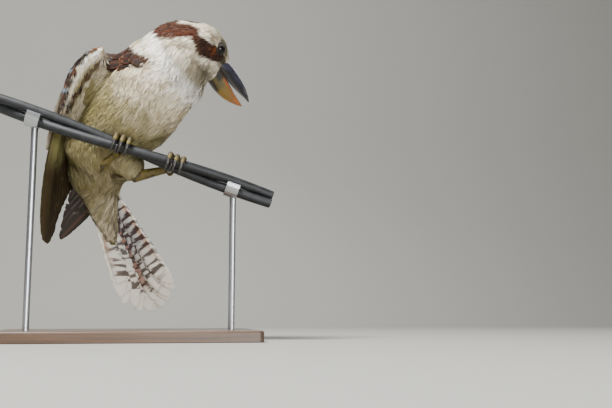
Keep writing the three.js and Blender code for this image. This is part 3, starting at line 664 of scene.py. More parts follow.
def bar_frame(points, radii, steps):
    """Centres along points, two ways across them, and radii at even shares of the length."""
    centre = curve_points(points, np.linspace(0, 1, steps))
    way = unit(np.gradient(centre, axis=0))
    side = across_to(np.tile([0.31, 0.93, 0.2], (steps, 1)), way)
    radius = np.interp(np.linspace(0, len(radii) - 1, steps), range(len(radii)), radii)
    return centre, side, np.cross(way, side), radius


def bar(points, radii, count=24, steps=40):
    """A round bar along points."""
    centre, side, front, radius = bar_frame(points, radii, steps)
    return loft(ovals(centre, side, front, radius, radius, radius, count))


# Skin

# Width of the voxels that join the skin's parts, and rounds of smoothing
SKIN_VOXEL = 1.7
SKIN_ROUNDS = 6
# Of each body section: half width, and half depths towards the belly and the back
BODY_WIDTHS = (
    (9, 8, 7),
    (31, 27, 25),
    (36, 30, 32),
    (40, 38, 37),
    (43, 47, 43),
    (44, 50, 48),
    (43, 50, 51),
    (42, 49, 49),
    (38, 46, 43),
    (36, 38, 42),
    (34, 30, 37),
    (29, 24, 30),
    (17, 14, 18),
)
# Where the face's feathers end at the bill, as seen from the side: ahead and up
FACE_EDGE = ((5, 3.5), (-15.2, -9.3), (-11.6, -14.2), (-7.9, -17.6), (-4.9, -23.2), (-1.6, -34), (5, -34))
NECK_END = ((54, -25, 118, 86), (61, -27, 121, 94))
HEAD_STATIONS = (
    (-0.5, 1.4, -27.5, 9),
    (-4, 4.2, -31.5, 12),
    (-12, 9.5, -35, 16.5),
    (-22, 14, -37.5, 20.5),
    (-34, 16.5, -40.5, 24),
    (-46, 15, -43, 26.5),
    (-56, 10, -42, 25),
    (-64, 3, -38, 20),
    (-71, -8, -32, 12),
    (-75, -15, -25, 5),
)


def body_rings(count=48):
    rows = np.hstack([np.array(BODY_SECTIONS + NECK_END, float), BODY_WIDTHS])
    middles = rows[:, :3]
    ahead = unit(np.gradient(middles, axis=0))
    angle = np.radians(TORSO_TURN + rows[:, 3])
    right = across_to(np.stack([np.cos(angle), np.sin(angle), 0 * angle], 1), ahead)
    belly = np.cross(ahead, right)
    s = np.linspace(0, 1, 60)
    centre = curve_points(middles, s)
    way = unit(np.gradient(centre, axis=0))
    right = across_to(curve_points(right, s), way)
    belly = np.cross(way, right)
    sizes = np.maximum(curve_points(rows[:, 4:], s), 1)
    return ovals(centre, right, belly, sizes[:, 0], sizes[:, 1], sizes[:, 2], count)


def head_rings(count=48):
    rows = resample(HEAD_STATIONS, 50)
    middle = (rows[:, 1] + rows[:, 2]) / 2 + 3
    centre = BILL_BASE + HEAD_AHEAD * rows[:, :1] + HEAD_UP * middle[:, None]
    side = np.tile(HEAD_RIGHT, (len(rows), 1))
    up = np.tile(HEAD_UP, (len(rows), 1))
    wide = np.maximum(rows[:, 3], 0.5)
    return ovals(centre, side, up, wide, rows[:, 1] - middle, middle - rows[:, 2], count)


def shoulder_rings(count=32):
    rows = resample([(*at, high, front, rear) for at, high, front, rear in SHOULDER], 24)
    forward = np.tile(unit([0.25, -0.97, 0]), (len(rows), 1))
    up = np.tile([0.0, 0.0, 1.0], (len(rows), 1))
    return ovals(rows[:, :3], up, forward, rows[:, 3], rows[:, 4], rows[:, 5], count)


def undertail_rings(count=32):
    rows = resample(TAIL_COVERTS, 24)
    centre = TAIL_ROOT + TAIL_DOWN * rows[:, :1] + TAIL_UNDER * 2 + TAIL_LEFT * rows[:, 4:]
    left = np.tile(TAIL_LEFT, (len(rows), 1))
    under = np.tile(TAIL_UNDER, (len(rows), 1))
    return ovals(centre, left, under, rows[:, 1], rows[:, 2], rows[:, 3], count)


def rough_object(name, vertices, faces):
    mesh = bpy.data.meshes.new(name)
    mesh.from_pydata(vertices.tolist(), [], [tuple(f) for group in faces for f in group.tolist()])
    made = bpy.data.objects.new(name, mesh)
    bpy.context.collection.objects.link(made)
    return made


def face_space():
    """All that lies ahead of the face's feathers, as a prism across the head."""
    sides = [[head_point(ahead, right, up) for ahead, up in FACE_EDGE] for right in (-26, 26)]
    count = len(FACE_EDGE)
    walls = [(i, (i + 1) % count, count + (i + 1) % count, count + i) for i in range(count)]
    ends = [tuple(reversed(range(count))), tuple(range(count, 2 * count))]
    return np.array(sides).reshape(-1, 3), walls + ends


def remeshed(vertices, faces, voxel, rounds):
    """One closed surface over overlapping closed parts, open for the bill, as vertices and faces."""
    source = rough_object("rough", vertices, faces)
    points, walls = face_space()
    cutter = rough_object("cutter", points, [])
    cutter.data.clear_geometry()
    cutter.data.from_pydata(points.tolist(), [], walls)
    for kind in ("REMESH", "BOOLEAN", "REMESH"):
        modifier = source.modifiers.new(kind.lower(), kind)
        if kind == "BOOLEAN":
            modifier.operation = "DIFFERENCE"
            modifier.solver = "EXACT"
            modifier.object = cutter
        else:
            modifier.mode = "VOXEL"
            modifier.voxel_size = voxel
    graph = bpy.context.evaluated_depsgraph_get()
    mesh = bpy.data.meshes.new_from_object(source.evaluated_get(graph))
    bpy.data.objects.remove(source)
    bpy.data.objects.remove(cutter)
    points = np.empty(len(mesh.vertices) * 3, np.float32)
    mesh.vertices.foreach_get("co", points)
    points = points.reshape(-1, 3).astype(float)
    corners = np.empty(len(mesh.loops), np.int32)
    mesh.loops.foreach_get("vertex_index", corners)
    quads = corners.reshape(-1, 4)
    edges = np.empty(len(mesh.edges) * 2, np.int32)
    mesh.edges.foreach_get("vertices", edges)
    edges = edges.reshape(-1, 2)
    bpy.data.meshes.remove(mesh)
    valence = np.bincount(edges.ravel(), minlength=len(points))[:, None]
    for share in [0.55, -0.57] * rounds + [0.5] * 6:
        total = np.zeros_like(points)
        np.add.at(total, edges[:, 0], points[edges[:, 1]])
        np.add.at(total, edges[:, 1], points[edges[:, 0]])
        points += share * (total / valence - points)
    return points, quads


def vertex_normals(points, quads):
    a, b, c, d = (points[quads[:, i]] for i in range(4))
    face = np.cross(c - a, d - b)
    normals = np.zeros_like(points)
    for i in range(4):
        np.add.at(normals, quads[:, i], face)
    return unit(normals)


# Roots lie no nearer than this share of their spacing, looked up in cells of this size and next to it
NEAREST_ROOT = 0.82
SCATTER_CELL = 4.0
NEIGHBOURS = [(x, y, z) for x in (-1, 0, 1) for y in (-1, 0, 1) for z in (-1, 0, 1)]


class Skin:
    """The flesh's one surface, a coat's depth inside the solids, with rays and samples on it."""

    def __init__(self, depth):
        parts = [body_rings(), head_rings(), shoulder_rings(), undertail_rings()]
        parts += [ARMS["right"].rings(32), ARMS["left"].rings(32)]
        parts = [loft(rings) for rings in parts]
        parts += [bar(leg["hip"], THIGH_GIRTHS[side], 28) for side, leg in LEGS.items()]
        points, quads = remeshed(*joined(parts), SKIN_VOXEL, SKIN_ROUNDS)
        normals = vertex_normals(points, quads)
        if (normals * (points - points.mean(0))).sum() < 0:
            quads, normals = quads[:, ::-1], -normals
        self.points = points - normals * depth
        self.quads = quads
        self.normals = normals
        triangles = np.vstack([quads[:, [0, 1, 2]], quads[:, [0, 2, 3]]])
        self.triangles = triangles
        self.tree = BVHTree.FromPolygons(self.points.tolist(), triangles.tolist())
        a, b, c = (self.points[triangles[:, i]] for i in range(3))
        self.areas = np.linalg.norm(np.cross(b - a, c - a), axis=1) / 2

    def nearest(self, p):
        """The nearest places on the skin, and the smooth normals there."""
        places, normals = np.empty_like(p), np.empty_like(p)
        find = self.tree.find_nearest
        for i, q in enumerate(p.tolist()):
            place, _, face, _ = find(q)
            places[i] = place
            corners = self.triangles[face]
            normals[i] = self.normals[corners].sum(0)
        return places, unit(normals)

    def scatter(self, spacing_at, rng):
        """Random roots on the skin, none nearer to another than spacing_at gives there."""
        centres = self.points[self.triangles].mean(1)
        spacing = spacing_at(centres, self.normals[self.triangles].sum(1))
        chance = np.where(spacing > 0, self.areas / np.maximum(spacing, 0.1) ** 2, 0)
        total = int(chance.sum() * 5)
        pick = rng.choice(len(chance), size=total, p=chance / chance.sum())
        w = rng.random((total, 2))
        flip = w.sum(1) > 1
        w[flip] = 1 - w[flip]
        corners = self.triangles[pick]
        weights = np.stack([1 - w.sum(1), w[:, 0], w[:, 1]], 1)[..., None]
        p = (self.points[corners] * weights).sum(1)
        n = unit((self.normals[corners] * weights).sum(1))
        reach = (spacing[pick] * NEAREST_ROOT).tolist()
        cells = np.floor(p / SCATTER_CELL).astype(int).tolist()
        taken, kept = {}, []
        for i, ((x, y, z), (cx, cy, cz)) in enumerate(zip(p.tolist(), cells)):
            crowded = any(
                (qx - x) ** 2 + (qy - y) ** 2 + (qz - z) ** 2 < reach[i] * reach[i]
                for dx, dy, dz in NEIGHBOURS
                for qx, qy, qz in taken.get((cx + dx, cy + dy, cz + dz), ())
            )
            if not crowded:
                taken.setdefault((cx, cy, cz), []).append((x, y, z))
                kept.append(i)
        return p[kept], n[kept]


# Coat

# Down a strand, in four steps: how far along it, its thickness, how far out it has fanned, and the
# shares of the tip's colour, the dark middle, the pale rim and the light, with painted shade at the root
STRAND_STEPS = np.array([0.04, 0.5, 0.82, 1.0])
STRAND_THICKNESS = np.array([0.7, 1.0, 0.8, 0.0])
STRAND_FAN = np.array([0.35, 0.85, 1.0, 1.06])
STRAND_TIP_COLOUR = (0.0, 0.55, 0.9, 1.0)
STRAND_DARK = (0.3, 1.0, 0.9, 0.7)
STRAND_RIM = (0.0, 0.7, 1.0, 1.0)
STRAND_LIGHT = (0.5, 0.96, 1.0, 1.0)
# A strand has a pair of corners at each step and one at its tip, and five triangles between them
STRAND_CORNERS = [0, 0, 1, 1, 2, 2, 3]
STRAND_TRIANGLES = ((0, 1, 3), (0, 3, 2), (2, 3, 5), (2, 5, 4), (4, 5, 6))


def at_corners(values):
    """The values of a strand's four steps at its seven corners, as one column for every strand."""
    return np.array(values)[STRAND_CORNERS][None, None, :, None]


def feather_tufts(
    root, normal, lie, tip, length, width, lift, strands, rng, colour, tip_colour, streak, edge, fray
):
    """Loose-webbed feathers: each a fan of thin strands that bends from its root down to its tip.
    Streak darkens each feather's middle, and edge is the share of a pale rim."""
    shape = (len(root), strands)
    wide = width[:, None]
    side = np.cross(lie, normal)[:, None, None]
    start = lie * np.cos(lift)[:, None] + normal * np.sin(lift)[:, None]
    bend = (root + start * (length * 0.5)[:, None])[:, None, None]
    root, tip, normal = root[:, None, None], tip[:, None, None], normal[:, None, None]
    k = np.linspace(-1, 1, strands)[None]
    spread = k + rng.normal(0, 0.55 / strands, shape)
    reach = (1 - 0.22 * k**2) * (1 + rng.normal(0, fray, shape))
    reach = np.clip(reach, 0.5, 1.2)
    rise = -0.16 * spread**2 * wide + rng.normal(0, 0.045, shape) * wide
    u = (STRAND_STEPS * reach[..., None])[..., None]
    line = (1 - u) ** 2 * root + 2 * u * (1 - u) * bend + u**2 * tip
    line = line + side * ((spread[..., None] * STRAND_FAN) * (wide[..., None] / 2))[..., None]
    line = line + normal * (rise[..., None] * STRAND_FAN)[..., None]
    half = ((wide[..., None] / strands) * 0.6 * STRAND_THICKNESS)[..., None]
    roll = rng.normal(0, 0.35, (*shape, 1, 1))
    across = side * np.cos(roll) + normal * np.sin(roll)
    points = np.stack([line - across * half, line + across * half], 3).reshape(*shape, 8, 3)[:, :, :7]
    index = np.arange(len(root) * strands)[:, None] * 7
    faces = np.vstack([index + np.array(t) for t in STRAND_TRIANGLES])
    shade = 1 + rng.normal(0, 0.07, (*shape, 1, 1))
    mix = at_corners(STRAND_TIP_COLOUR)
    colours = (colour[:, None, None] * (1 - mix) + tip_colour[:, None, None] * mix) * shade
    dark = streak[:, None] * np.exp(-((k / 0.22) ** 2))
    colours = colours * (1 - dark[..., None, None] * at_corners(STRAND_DARK))
    rim = edge[:, None] * ramp(np.abs(k), 0.55, 0.95)
    colours = blend(colours, BUFF, rim[..., None] * at_corners(STRAND_RIM)[..., 0])
    # Each strand is darker towards its root: painted shade under the feathers that lie over it.
    colours = np.clip(colours * at_corners(STRAND_LIGHT), 0, 1)
    return points.reshape(-1, 3), faces, colours.reshape(-1, 3)


def bake_places(share, angle):
    """Places on the unwrap of the skin, inside a margin: round the spine, and along it."""
    margin = 0.03
    turned = angle / (2 * math.pi) + 0.5
    return margin + (1 - 2 * margin) * np.stack([turned, share], 1)


def bake_patches(share, angle, per_feather, rng):
    """Each feather's small patch on the unwrap of the skin."""
    corner = rng.random((len(share), per_feather, 2)) * 0.003 - 0.0015
    return np.clip(bake_places(share, angle)[:, None] + corner, 0, 1).reshape(-1, 2)


# Coat regions: root spacing, feather length and width, strands, lift in degrees, tip height,
# how dark the streak down the middle is, and the share of a pale rim
COAT = {
    "face": (1.15, 4.2, 1.8, 5, 16, 1.2, 0.25, 0),
    "crown": (1.45, 8.5, 2.8, 7, 15, 1.6, 0.7, 0),
    "nape": (1.6, 12.0, 3.0, 7, 22, 3.0, 0.3, 0),
    "throat": (1.7, 16.0, 2.6, 7, 36, 4.6, 0.8, 0),
    "neck": (1.9, 12.0, 4.4, 9, 18, 2.0, 0.15, 0),
    "breast": (2.2, 13.0, 4.6, 9, 22, 2.6, 0.9, 0),
    "belly": (2.3, 15.0, 5.0, 9, 24, 2.8, 0.7, 0),
    "vent": (2.3, 16.0, 4.6, 9, 26, 3.2, 0.7, 0),
    "undertail": (2.4, 24.0, 5.5, 11, 14, 1.6, 0.5, 0),
    "mantle": (2.4, 9.0, 6.5, 9, 10, 0.8, 0.3, 0.35),
    "wing_arm": (2.0, 10.0, 4.6, 9, 16, 1.6, 0.3, 0.2),
}
# Pieces of the coat: a slot's name for each, and the regions that it takes in
COAT_PIECES = {
    "coat_head": ("pale_plumage", ("face", "crown", "nape", "throat")),
    "coat_neck": ("pale_plumage", ("neck",)),
    "coat_breast": ("pale_plumage", ("breast",)),
    "coat_belly": ("pale_plumage", ("belly",)),
    "coat_vent": ("pale_plumage", ("vent", "undertail")),
    "coat_mantle": ("wing_feathers", ("mantle",)),
    "coat_wing_right": ("wing_feathers", ("wing_arm_right",)),
    "coat_wing_left": ("wing_feathers", ("wing_arm_left",)),
}
PIECE_LIMIT = 200000


def coat_rows(names):
    """The row of COAT for each region's name, and zeros where no feathers grow."""
    kinds = [name.removesuffix("_right").removesuffix("_left") for name in names]
    return np.array([COAT.get(kind, (0,) * 8) for kind in kinds])


def inside(p, low, high):
    """Which places lie between two corners of a box."""
    return ((p > low) & (p < high)).all(1)


def region_names(p, n):
    """The coat region at each place of the skin, with an empty name where no feathers grow."""
    a, r, u = head_coords(p)
    share, angle = SPINE.coords(p)
    turned = np.degrees(angle)
    names = np.full(len(p), "breast", dtype="<U16")
    names[share < 0.345] = "neck"
    names[share > 0.47] = "belly"
    names[share > 0.64] = "vent"
    names[(mantle_at(share, turned, 0.5) > 0.5) & (share < 0.84)] = "mantle"
    tail_way = (p - TAIL_ROOT) @ TAIL_DOWN
    names[(tail_way > 4) & ((p - TAIL_ROOT) @ TAIL_UNDER > -4)] = "undertail"
    head = (a > -72) & (share < 0.28)
    names[head] = "crown"
    names[(a < -62) & (a > -86) & (u > -34) & (share < 0.33)] = "nape"
    names[head & (u < -27)] = "throat"
    names[head & (a > -38)] = "face"
    names[head & (a > -38) & (a < -10) & (u < -27)] = "throat"
    for side in ("right", "left"):
        names[ARMS[side].coords(p)[3] < 1.3] = "wing_arm_" + side
    shoulder = inside(p, (-INFINITE, 6, 72), (2, 48, 126))
    names[shoulder & (np.abs(turned) > 60) & (names == "breast")] = "mantle"
    bare = np.zeros(len(p), bool)
    for side in (-1, 1):
        bare |= np.linalg.norm(p - eye_centre(side), axis=1) < 6.8
    # No feathers grow on the faces that meet the bill.
    bare |= (n @ HEAD_AHEAD > 0.55) & (a > -17) & (np.abs(r) < 12.5) & (u < 1) & (u > -25)
    for leg in LEGS.values():
        heel = np.array(leg["heel"], float)
        bare |= np.linalg.norm(p - heel, axis=1) < 4.2
    names[bare] = ""
    return names


def lie_at(p, names):
    """The way that the feathers point, before it is laid along the skin."""
    lie = SPINE.lie(p)
    a, _, _ = head_coords(p)
    face = ramp(a, -34, -8)[:, None]
    away = unit(p - head_point(10, 0, -10))
    lie = unit(lie * (1 - face) + away * face)
    hanging = (names == "throat")[:, None]
    lie = unit(lie + hanging * np.array([-0.1, 0.1, -1.1]))
    breast = ramp(p[:, 2], 40, 62)[:, None] * (names == "breast")[:, None]
    lie = unit(lie + breast * np.array([0, 0, -0.7]))
    for side, wing in (("right", RIGHT_WING), ("left", LEFT_WING)):
        way = unit(np.array(wing["tips"][2]) - np.array(wing["roots"][1]))
        lie = np.where((names == "wing_arm_" + side)[:, None], way, lie)
    # The feathers of the right shoulder sweep back over the wing's root.
    mantle = names == "mantle"
    on = mantle & inside(p, (-INFINITE, -INFINITE, 84), (10, 30, INFINITE))
    lie = np.where(on[:, None], unit([-0.78, 0.58, 0.1]), lie)
    low = mantle & inside(p, (-INFINITE, -INFINITE, 72), (-8, 48, INFINITE)) & (p[:, 2] <= 84)
    lie = np.where(low[:, None], unit(lie * 0.5 + unit([-0.75, 0.25, -0.45])), lie)
    for leg in LEGS.values():
        hip = np.array(leg["hip"], float)
        way = unit(hip[-1] - hip[0])
        near = np.exp(-((np.linalg.norm(np.cross(p - hip[0], way), axis=1) / 26) ** 2))
        below = ramp((p - hip[0]) @ way, 2, 22)
        weight = (near * below * (names == "vent"))[:, None]
        lie = unit(lie * (1 - 0.8 * weight) + way * 0.8 * weight)
    return lie


# Down the right arm: the height at which the spotted upper side begins, and the middle of the
# dark band under the wing
ARM_TOP = np.array([(0, -0.5), (0.2, -2.2), (0.35, -3.8), (0.5, -4), (0.6, -3.2), (0.7, -2.6), (1, -1)])
ARM_BAND = np.array([(0, 14), (0.15, 14.5), (0.3, 17), (0.5, 15.5), (0.6, 11.5), (0.7, 8.5), (1, 6)])


def wing_colours(side, p):
    """Colour of the small feathers on a wing's arm: mottled cream below, spotted brown above."""
    s, back, high, _ = ARMS[side].coords(p)
    fine = mottle(p, 1.6, 21)
    middle = mottle(p, 4.0, 23)
    over = ramp(high - along_line(s, ARM_TOP) + (middle - 0.5) * 2, -0.8, 0.8)
    dark = painted(
        BROWN,
        (BLACK_BROWN, ramp(middle, 0.25, 0.6)),
        (CHESTNUT, ramp(mottle(p, 9.0, 27), 0.45, 0.8) * 0.5),
    )
    spots = ramp(fine, 0.66, 0.78) * ramp(mottle(p, 6.0, 25), 0.35, 0.6)
    above = painted(dark, (PALE_BLUE, spots * 0.9), (ORANGE_BUFF, ramp(s, 0.22, 0.05) * 0.7))
    wobble = back + (middle - 0.5) * 6 + (fine - 0.5) * 3
    centre = along_line(s, ARM_BAND)
    band = ramp(np.abs(wobble - centre), 4.6, 3.0) * ramp(s, 0.04, 0.12)
    rear = ramp(wobble, centre + 4, centre + 7)
    below = painted(
        CREAM,
        (WHITE, ramp(middle, 0.35, 0.7)),
        # Painted green light, reflected from below, turns the underside olive behind its leading edge.
        (GREEN_LIGHT_OLIVE, ramp(wobble, 7, 10) * ramp(s, 0.1, 0.3) * 0.8),
        (dark, band * (0.65 + 0.35 * ramp(fine, 0.3, 0.6))),
        (CREAM, rear * 0.5),
        (GREY_BROWN, rear * ramp(fine, 0.4, 0.6) * 0.7),
        # Painted shadow darkens the rear of the underside, next to the body.
        (UNDER_BROWN, ramp(wobble, centre + 18, centre + 28) * 0.7),
        # The arm is thin at its rear edge, so its upper side's brown reaches round it.
        (dark, ramp(wobble, 31, 36)),
    )
    if side == "left":
        over = ramp(high, -3, 0)
    return blend(below, above, over)


def coat_colours(p, names):
    """Colour of the small feathers at the places p, by the region that they grow in."""
    colour = plumage_colours(p)
    for side in ("right", "left"):
        on = names == "wing_arm_" + side
        if on.any():
            colour[on] = wing_colours(side, p[on])
    shoulder = (names == "mantle") & inside(p, (-INFINITE, 0, 70), (-6, 50, 128))
    if shoulder.any():
        q = p[shoulder]
        top = ramp(q[:, 2] - 0.35 * (q[:, 1] - 10), 88, 98)
        middle = mottle(q, 4.0, 31)
        pale = blend(CREAM, GREY_BROWN, ramp(middle, 0.45, 0.8) * 0.7)
        colour[shoulder] = blend(pale, blend(BROWN, DARK_BROWN, middle), top)
    return colour


def clear_of_cable(points, margin=0.8):
    """Moves points that reach into the cable's pair of conductors out to its side."""
    along = points @ CABLE_AHEAD
    centre = along[:, None] * CABLE_AHEAD
    out = points - centre
    distance = np.linalg.norm(out, axis=1)
    limit = 2 * CONDUCTOR_RADIUS + margin
    near = (distance < limit) & (along > CABLE_START - 5) & (along < CABLE_END + 5)
    points[near] = centre[near] + out[near] / np.maximum(distance[near], 0.1)[:, None] * limit
    return points


def clear_of_eyes(points, margin=0.55):
    """Moves points that reach into an eyeball out past its surface."""
    for side in (-1, 1):
        centre = eye_centre(side)
        out = points - centre
        distance = np.linalg.norm(out, axis=1)
        near = distance < EYE_RADIUS + margin
        push = (EYE_RADIUS + margin) / np.maximum(distance[near], 0.1)
        points[near] = centre + out[near] * push[:, None]
    return points


# Flight and tail feathers

# Outlines of feathers: the share of the full width, by the share of the length
WING_VANE = (
    (0, 0.3), (0.06, 0.62), (0.3, 0.9), (0.6, 1.0),
    (0.84, 0.94), (0.94, 0.7), (0.985, 0.38), (1, 0.1),
)
TAIL_VANE = (
    (0, 0.3), (0.15, 0.5), (0.35, 0.7), (0.62, 0.94), (0.78, 1.0),
    (0.86, 0.95), (0.92, 0.78), (0.96, 0.56), (0.985, 0.36), (1, 0.14),
)
BACK_VANE = ((0, 0.35), (0.2, 0.75), (0.5, 1.0), (0.75, 0.88), (0.9, 0.55), (1.0, 0.12))
COVERT_VANE = ((0, 0.4), (0.2, 0.8), (0.55, 1.0), (0.82, 0.92), (0.94, 0.66), (1.0, 0.2))
# Rows of points across a vane, from one edge over the quill to the other
VANE_ROWS = np.array([-1, -0.72, -0.4, -0.1, 0, 0.1, 0.4, 0.72, 1.0])


def vane(
    root, tip, lead, over, width, bow, reach, tilt, outline, steps, narrow, rng, thickness=0.34, splits=3
):
    """One feather as a closed thin vane with a raised quill, notched where its barbs have parted."""
    way = tip - root
    length = np.linalg.norm(way)
    way = way / length
    across = unit(lead - way * (lead @ way))
    up = np.cross(way, across)
    if up @ over < 0:
        up = -up
    edge_way = unit(across + up * tilt)
    face = unit(up - across * tilt)
    s = np.linspace(0, 1, steps)
    x = s * length / reach
    centre = root + way * (s * length)[:, None]
    centre = centre + up * (bow * 4 * x * (1 - x))[:, None]
    share = np.interp(s, *zip(*outline))
    half = np.stack([share * width / 2 * (2 - narrow), share * width / 2 * narrow], 0)
    for _ in range(splits):
        side = rng.integers(0, 2)
        at = rng.uniform(0.45, 0.97)
        cut = np.exp(-(((s - at) * length / rng.uniform(0.9, 1.6)) ** 2))
        half[side] *= 1 - cut * rng.uniform(0.25, 0.6)
    half += rng.normal(0, 0.012, half.shape) * width
    half = np.maximum(half, 0.2)
    v = VANE_ROWS[None]
    offset = np.where(v < 0, v * half[0][:, None], v * half[1][:, None])
    slant = np.abs(v) * 2.2
    arch = -0.05 * offset**2 / max(width, 1)
    quill = np.exp(-((v / 0.08) ** 2)) * 0.28 * (1 - 0.8 * s)[:, None]
    shift = way * (slant - 1.1)[..., None] * (0.4 + 0.6 * s)[:, None, None]
    mid = centre[:, None] + edge_way * offset[..., None] + face * arch[..., None]
    mid = mid + shift * np.minimum(1, (1 - s) * 14)[:, None, None]
    thick = np.where(np.abs(v) > 0.9, 0.3, 1.0) * thickness / 2
    rise = face * (thick + quill)[..., None]
    shape = loft(np.concatenate([mid + rise, (mid - rise)[:, ::-1]], 1))
    along_mm = s[:, None] * length * np.ones_like(offset)
    coords = np.stack([along_mm, np.tile(v, (steps, 1)), offset], -1)
    coords = np.concatenate([coords, coords[:, ::-1]], 1).reshape(-1, 3)
    coords = np.vstack([coords, [[0, 0, 0], [length, 0, 0]]])
    rows = len(VANE_ROWS)
    is_top = np.append(np.tile(np.arange(2 * rows) < rows, steps), [True, True])
    return shape, coords, is_top, length


class VaneStack:
    """Gathers vanes into one piece, each with its own strip of the bake map."""

    def __init__(self, total):
        self.total = total
        self.parts, self.colours, self.bake, self.barbs = [], [], [], []

    def add(self, made, colour_at):
        shape, coords, is_top, length = made
        self.parts.append(shape)
        self.colours.append(np.clip(colour_at(coords, is_top, length, shape[0]), 0, 1))
        u = (len(self.bake) + 0.08 + 0.84 * (coords[:, 1] + 1) / 2) / self.total
        w = 0.01 + 0.47 * coords[:, 0] / length + np.where(is_top, 0, 0.5)
        self.bake.append(np.stack([u, w], 1))
        self.barbs.append(np.stack([coords[:, 0] - np.abs(coords[:, 2]) * 1.1, coords[:, 2]], 1))

    def piece(self, name, material):
        layers = {
            "Plumage": np.vstack(self.colours),
            "OFBake": np.vstack(self.bake),
            "Barbs": np.vstack(self.barbs) * MM,
        }
        piece = build_object(name, *joined(self.parts), material, layers)
        face_outwards(piece)
        return piece


def flight_colour(primary, rng, side):
    """Colour of a flight feather: dark brown above, paler brown below, white bases of primaries."""
    tone = rng.uniform(0.9, 1.1)

    def colour_at(coords, is_top, length, places):
        along, v = coords[:, 0] / length, coords[:, 1]
        noise = mottle(places, 6.0, 41)
        base = ramp(along, 0.5, 0.34) * ramp(v, 0.55, 0.2) * primary
        above = painted(
            DARK_BROWN,
            (BROWN, 0.35 + 0.4 * noise),
            (GREY_BROWN, ramp(along, 0.9, 0.99) * 0.35),
            (WHITE, base * 0.8),
        )
        below = blend(UNDER_BROWN, DARK_BROWN, 0.15 + 0.35 * noise + ramp(v, -0.2, -0.8) * 0.4)
        # The far, left wing is painted darker below, with fainter pale bases, as painted shade.
        if side == "left":
            below = blend(below, BLACK_BROWN, 0.85)
        pale = ramp(along, 0.58, 0.36) * ramp(v, 0.75, 0.2) * (0.25 if side == "left" else 0.75)
        below = blend(below, UNDER_PALE, pale)
        quill = np.exp(-((v / 0.09) ** 2))
        return blend(blend(below, above, is_top) * tone, BROWN, quill * 0.6)

    return colour_at


def covert_colour(rng, spot):
    """Colour of a covert: brown with a pale blue spot towards its tip."""
    tone = rng.uniform(0.85, 1.15)

    def colour_at(coords, is_top, length, places):
        along, v = coords[:, 0] / length, coords[:, 1]
        noise = mottle(places, 3.0, 43)
        mark = np.exp(-(((along - 0.86) * length / 3.4) ** 2) - ((v - 0.15) / 0.5) ** 2)
        above = painted(
            blend(BROWN, DARK_BROWN, 0.3 + 0.5 * noise) * tone,
            (PALE_BLUE, mark * spot),
            (CREAM, ramp(along, 0.96, 1.0) * 0.4),
        )
        return blend(blend(CREAM, GREY_BROWN, 0.3 + 0.5 * noise), above, is_top)

    return colour_at


def fan_of_vanes(stack, wing, count, tips, widths, lift, outline, steps, colour_for, rng, step, thickness):
    """Vanes fanned from a line of roots to a line of tips, each lying over the one before."""
    over = np.array(wing["over"], float)

    def middle_at(s):
        return (curve_points(wing["roots"], s)[0] + curve_points(tips, s)[0]) / 2

    for i in range(count):
        s = i / (count - 1)
        lead = middle_at(max(s - 0.05, 0)) - middle_at(min(s + 0.05, 1))
        raised = over * (lift + i * step)
        root = curve_points(wing["roots"], s)[0] + raised
        tip = curve_points(tips, s)[0] + raised
        width = widths[0] + (widths[1] - widths[0]) * s
        made = vane(
            root, tip, lead, over, width, wing["bow"], wing["reach"], 0.27,
            outline, steps, 0.62, rng, thickness,
        )
        stack.add(made, colour_for(i))


def covert_tips(wing, share):
    s = np.linspace(0, 1, 5)
    return curve_points(wing["roots"], s) * (1 - share) + curve_points(wing["tips"], s) * share


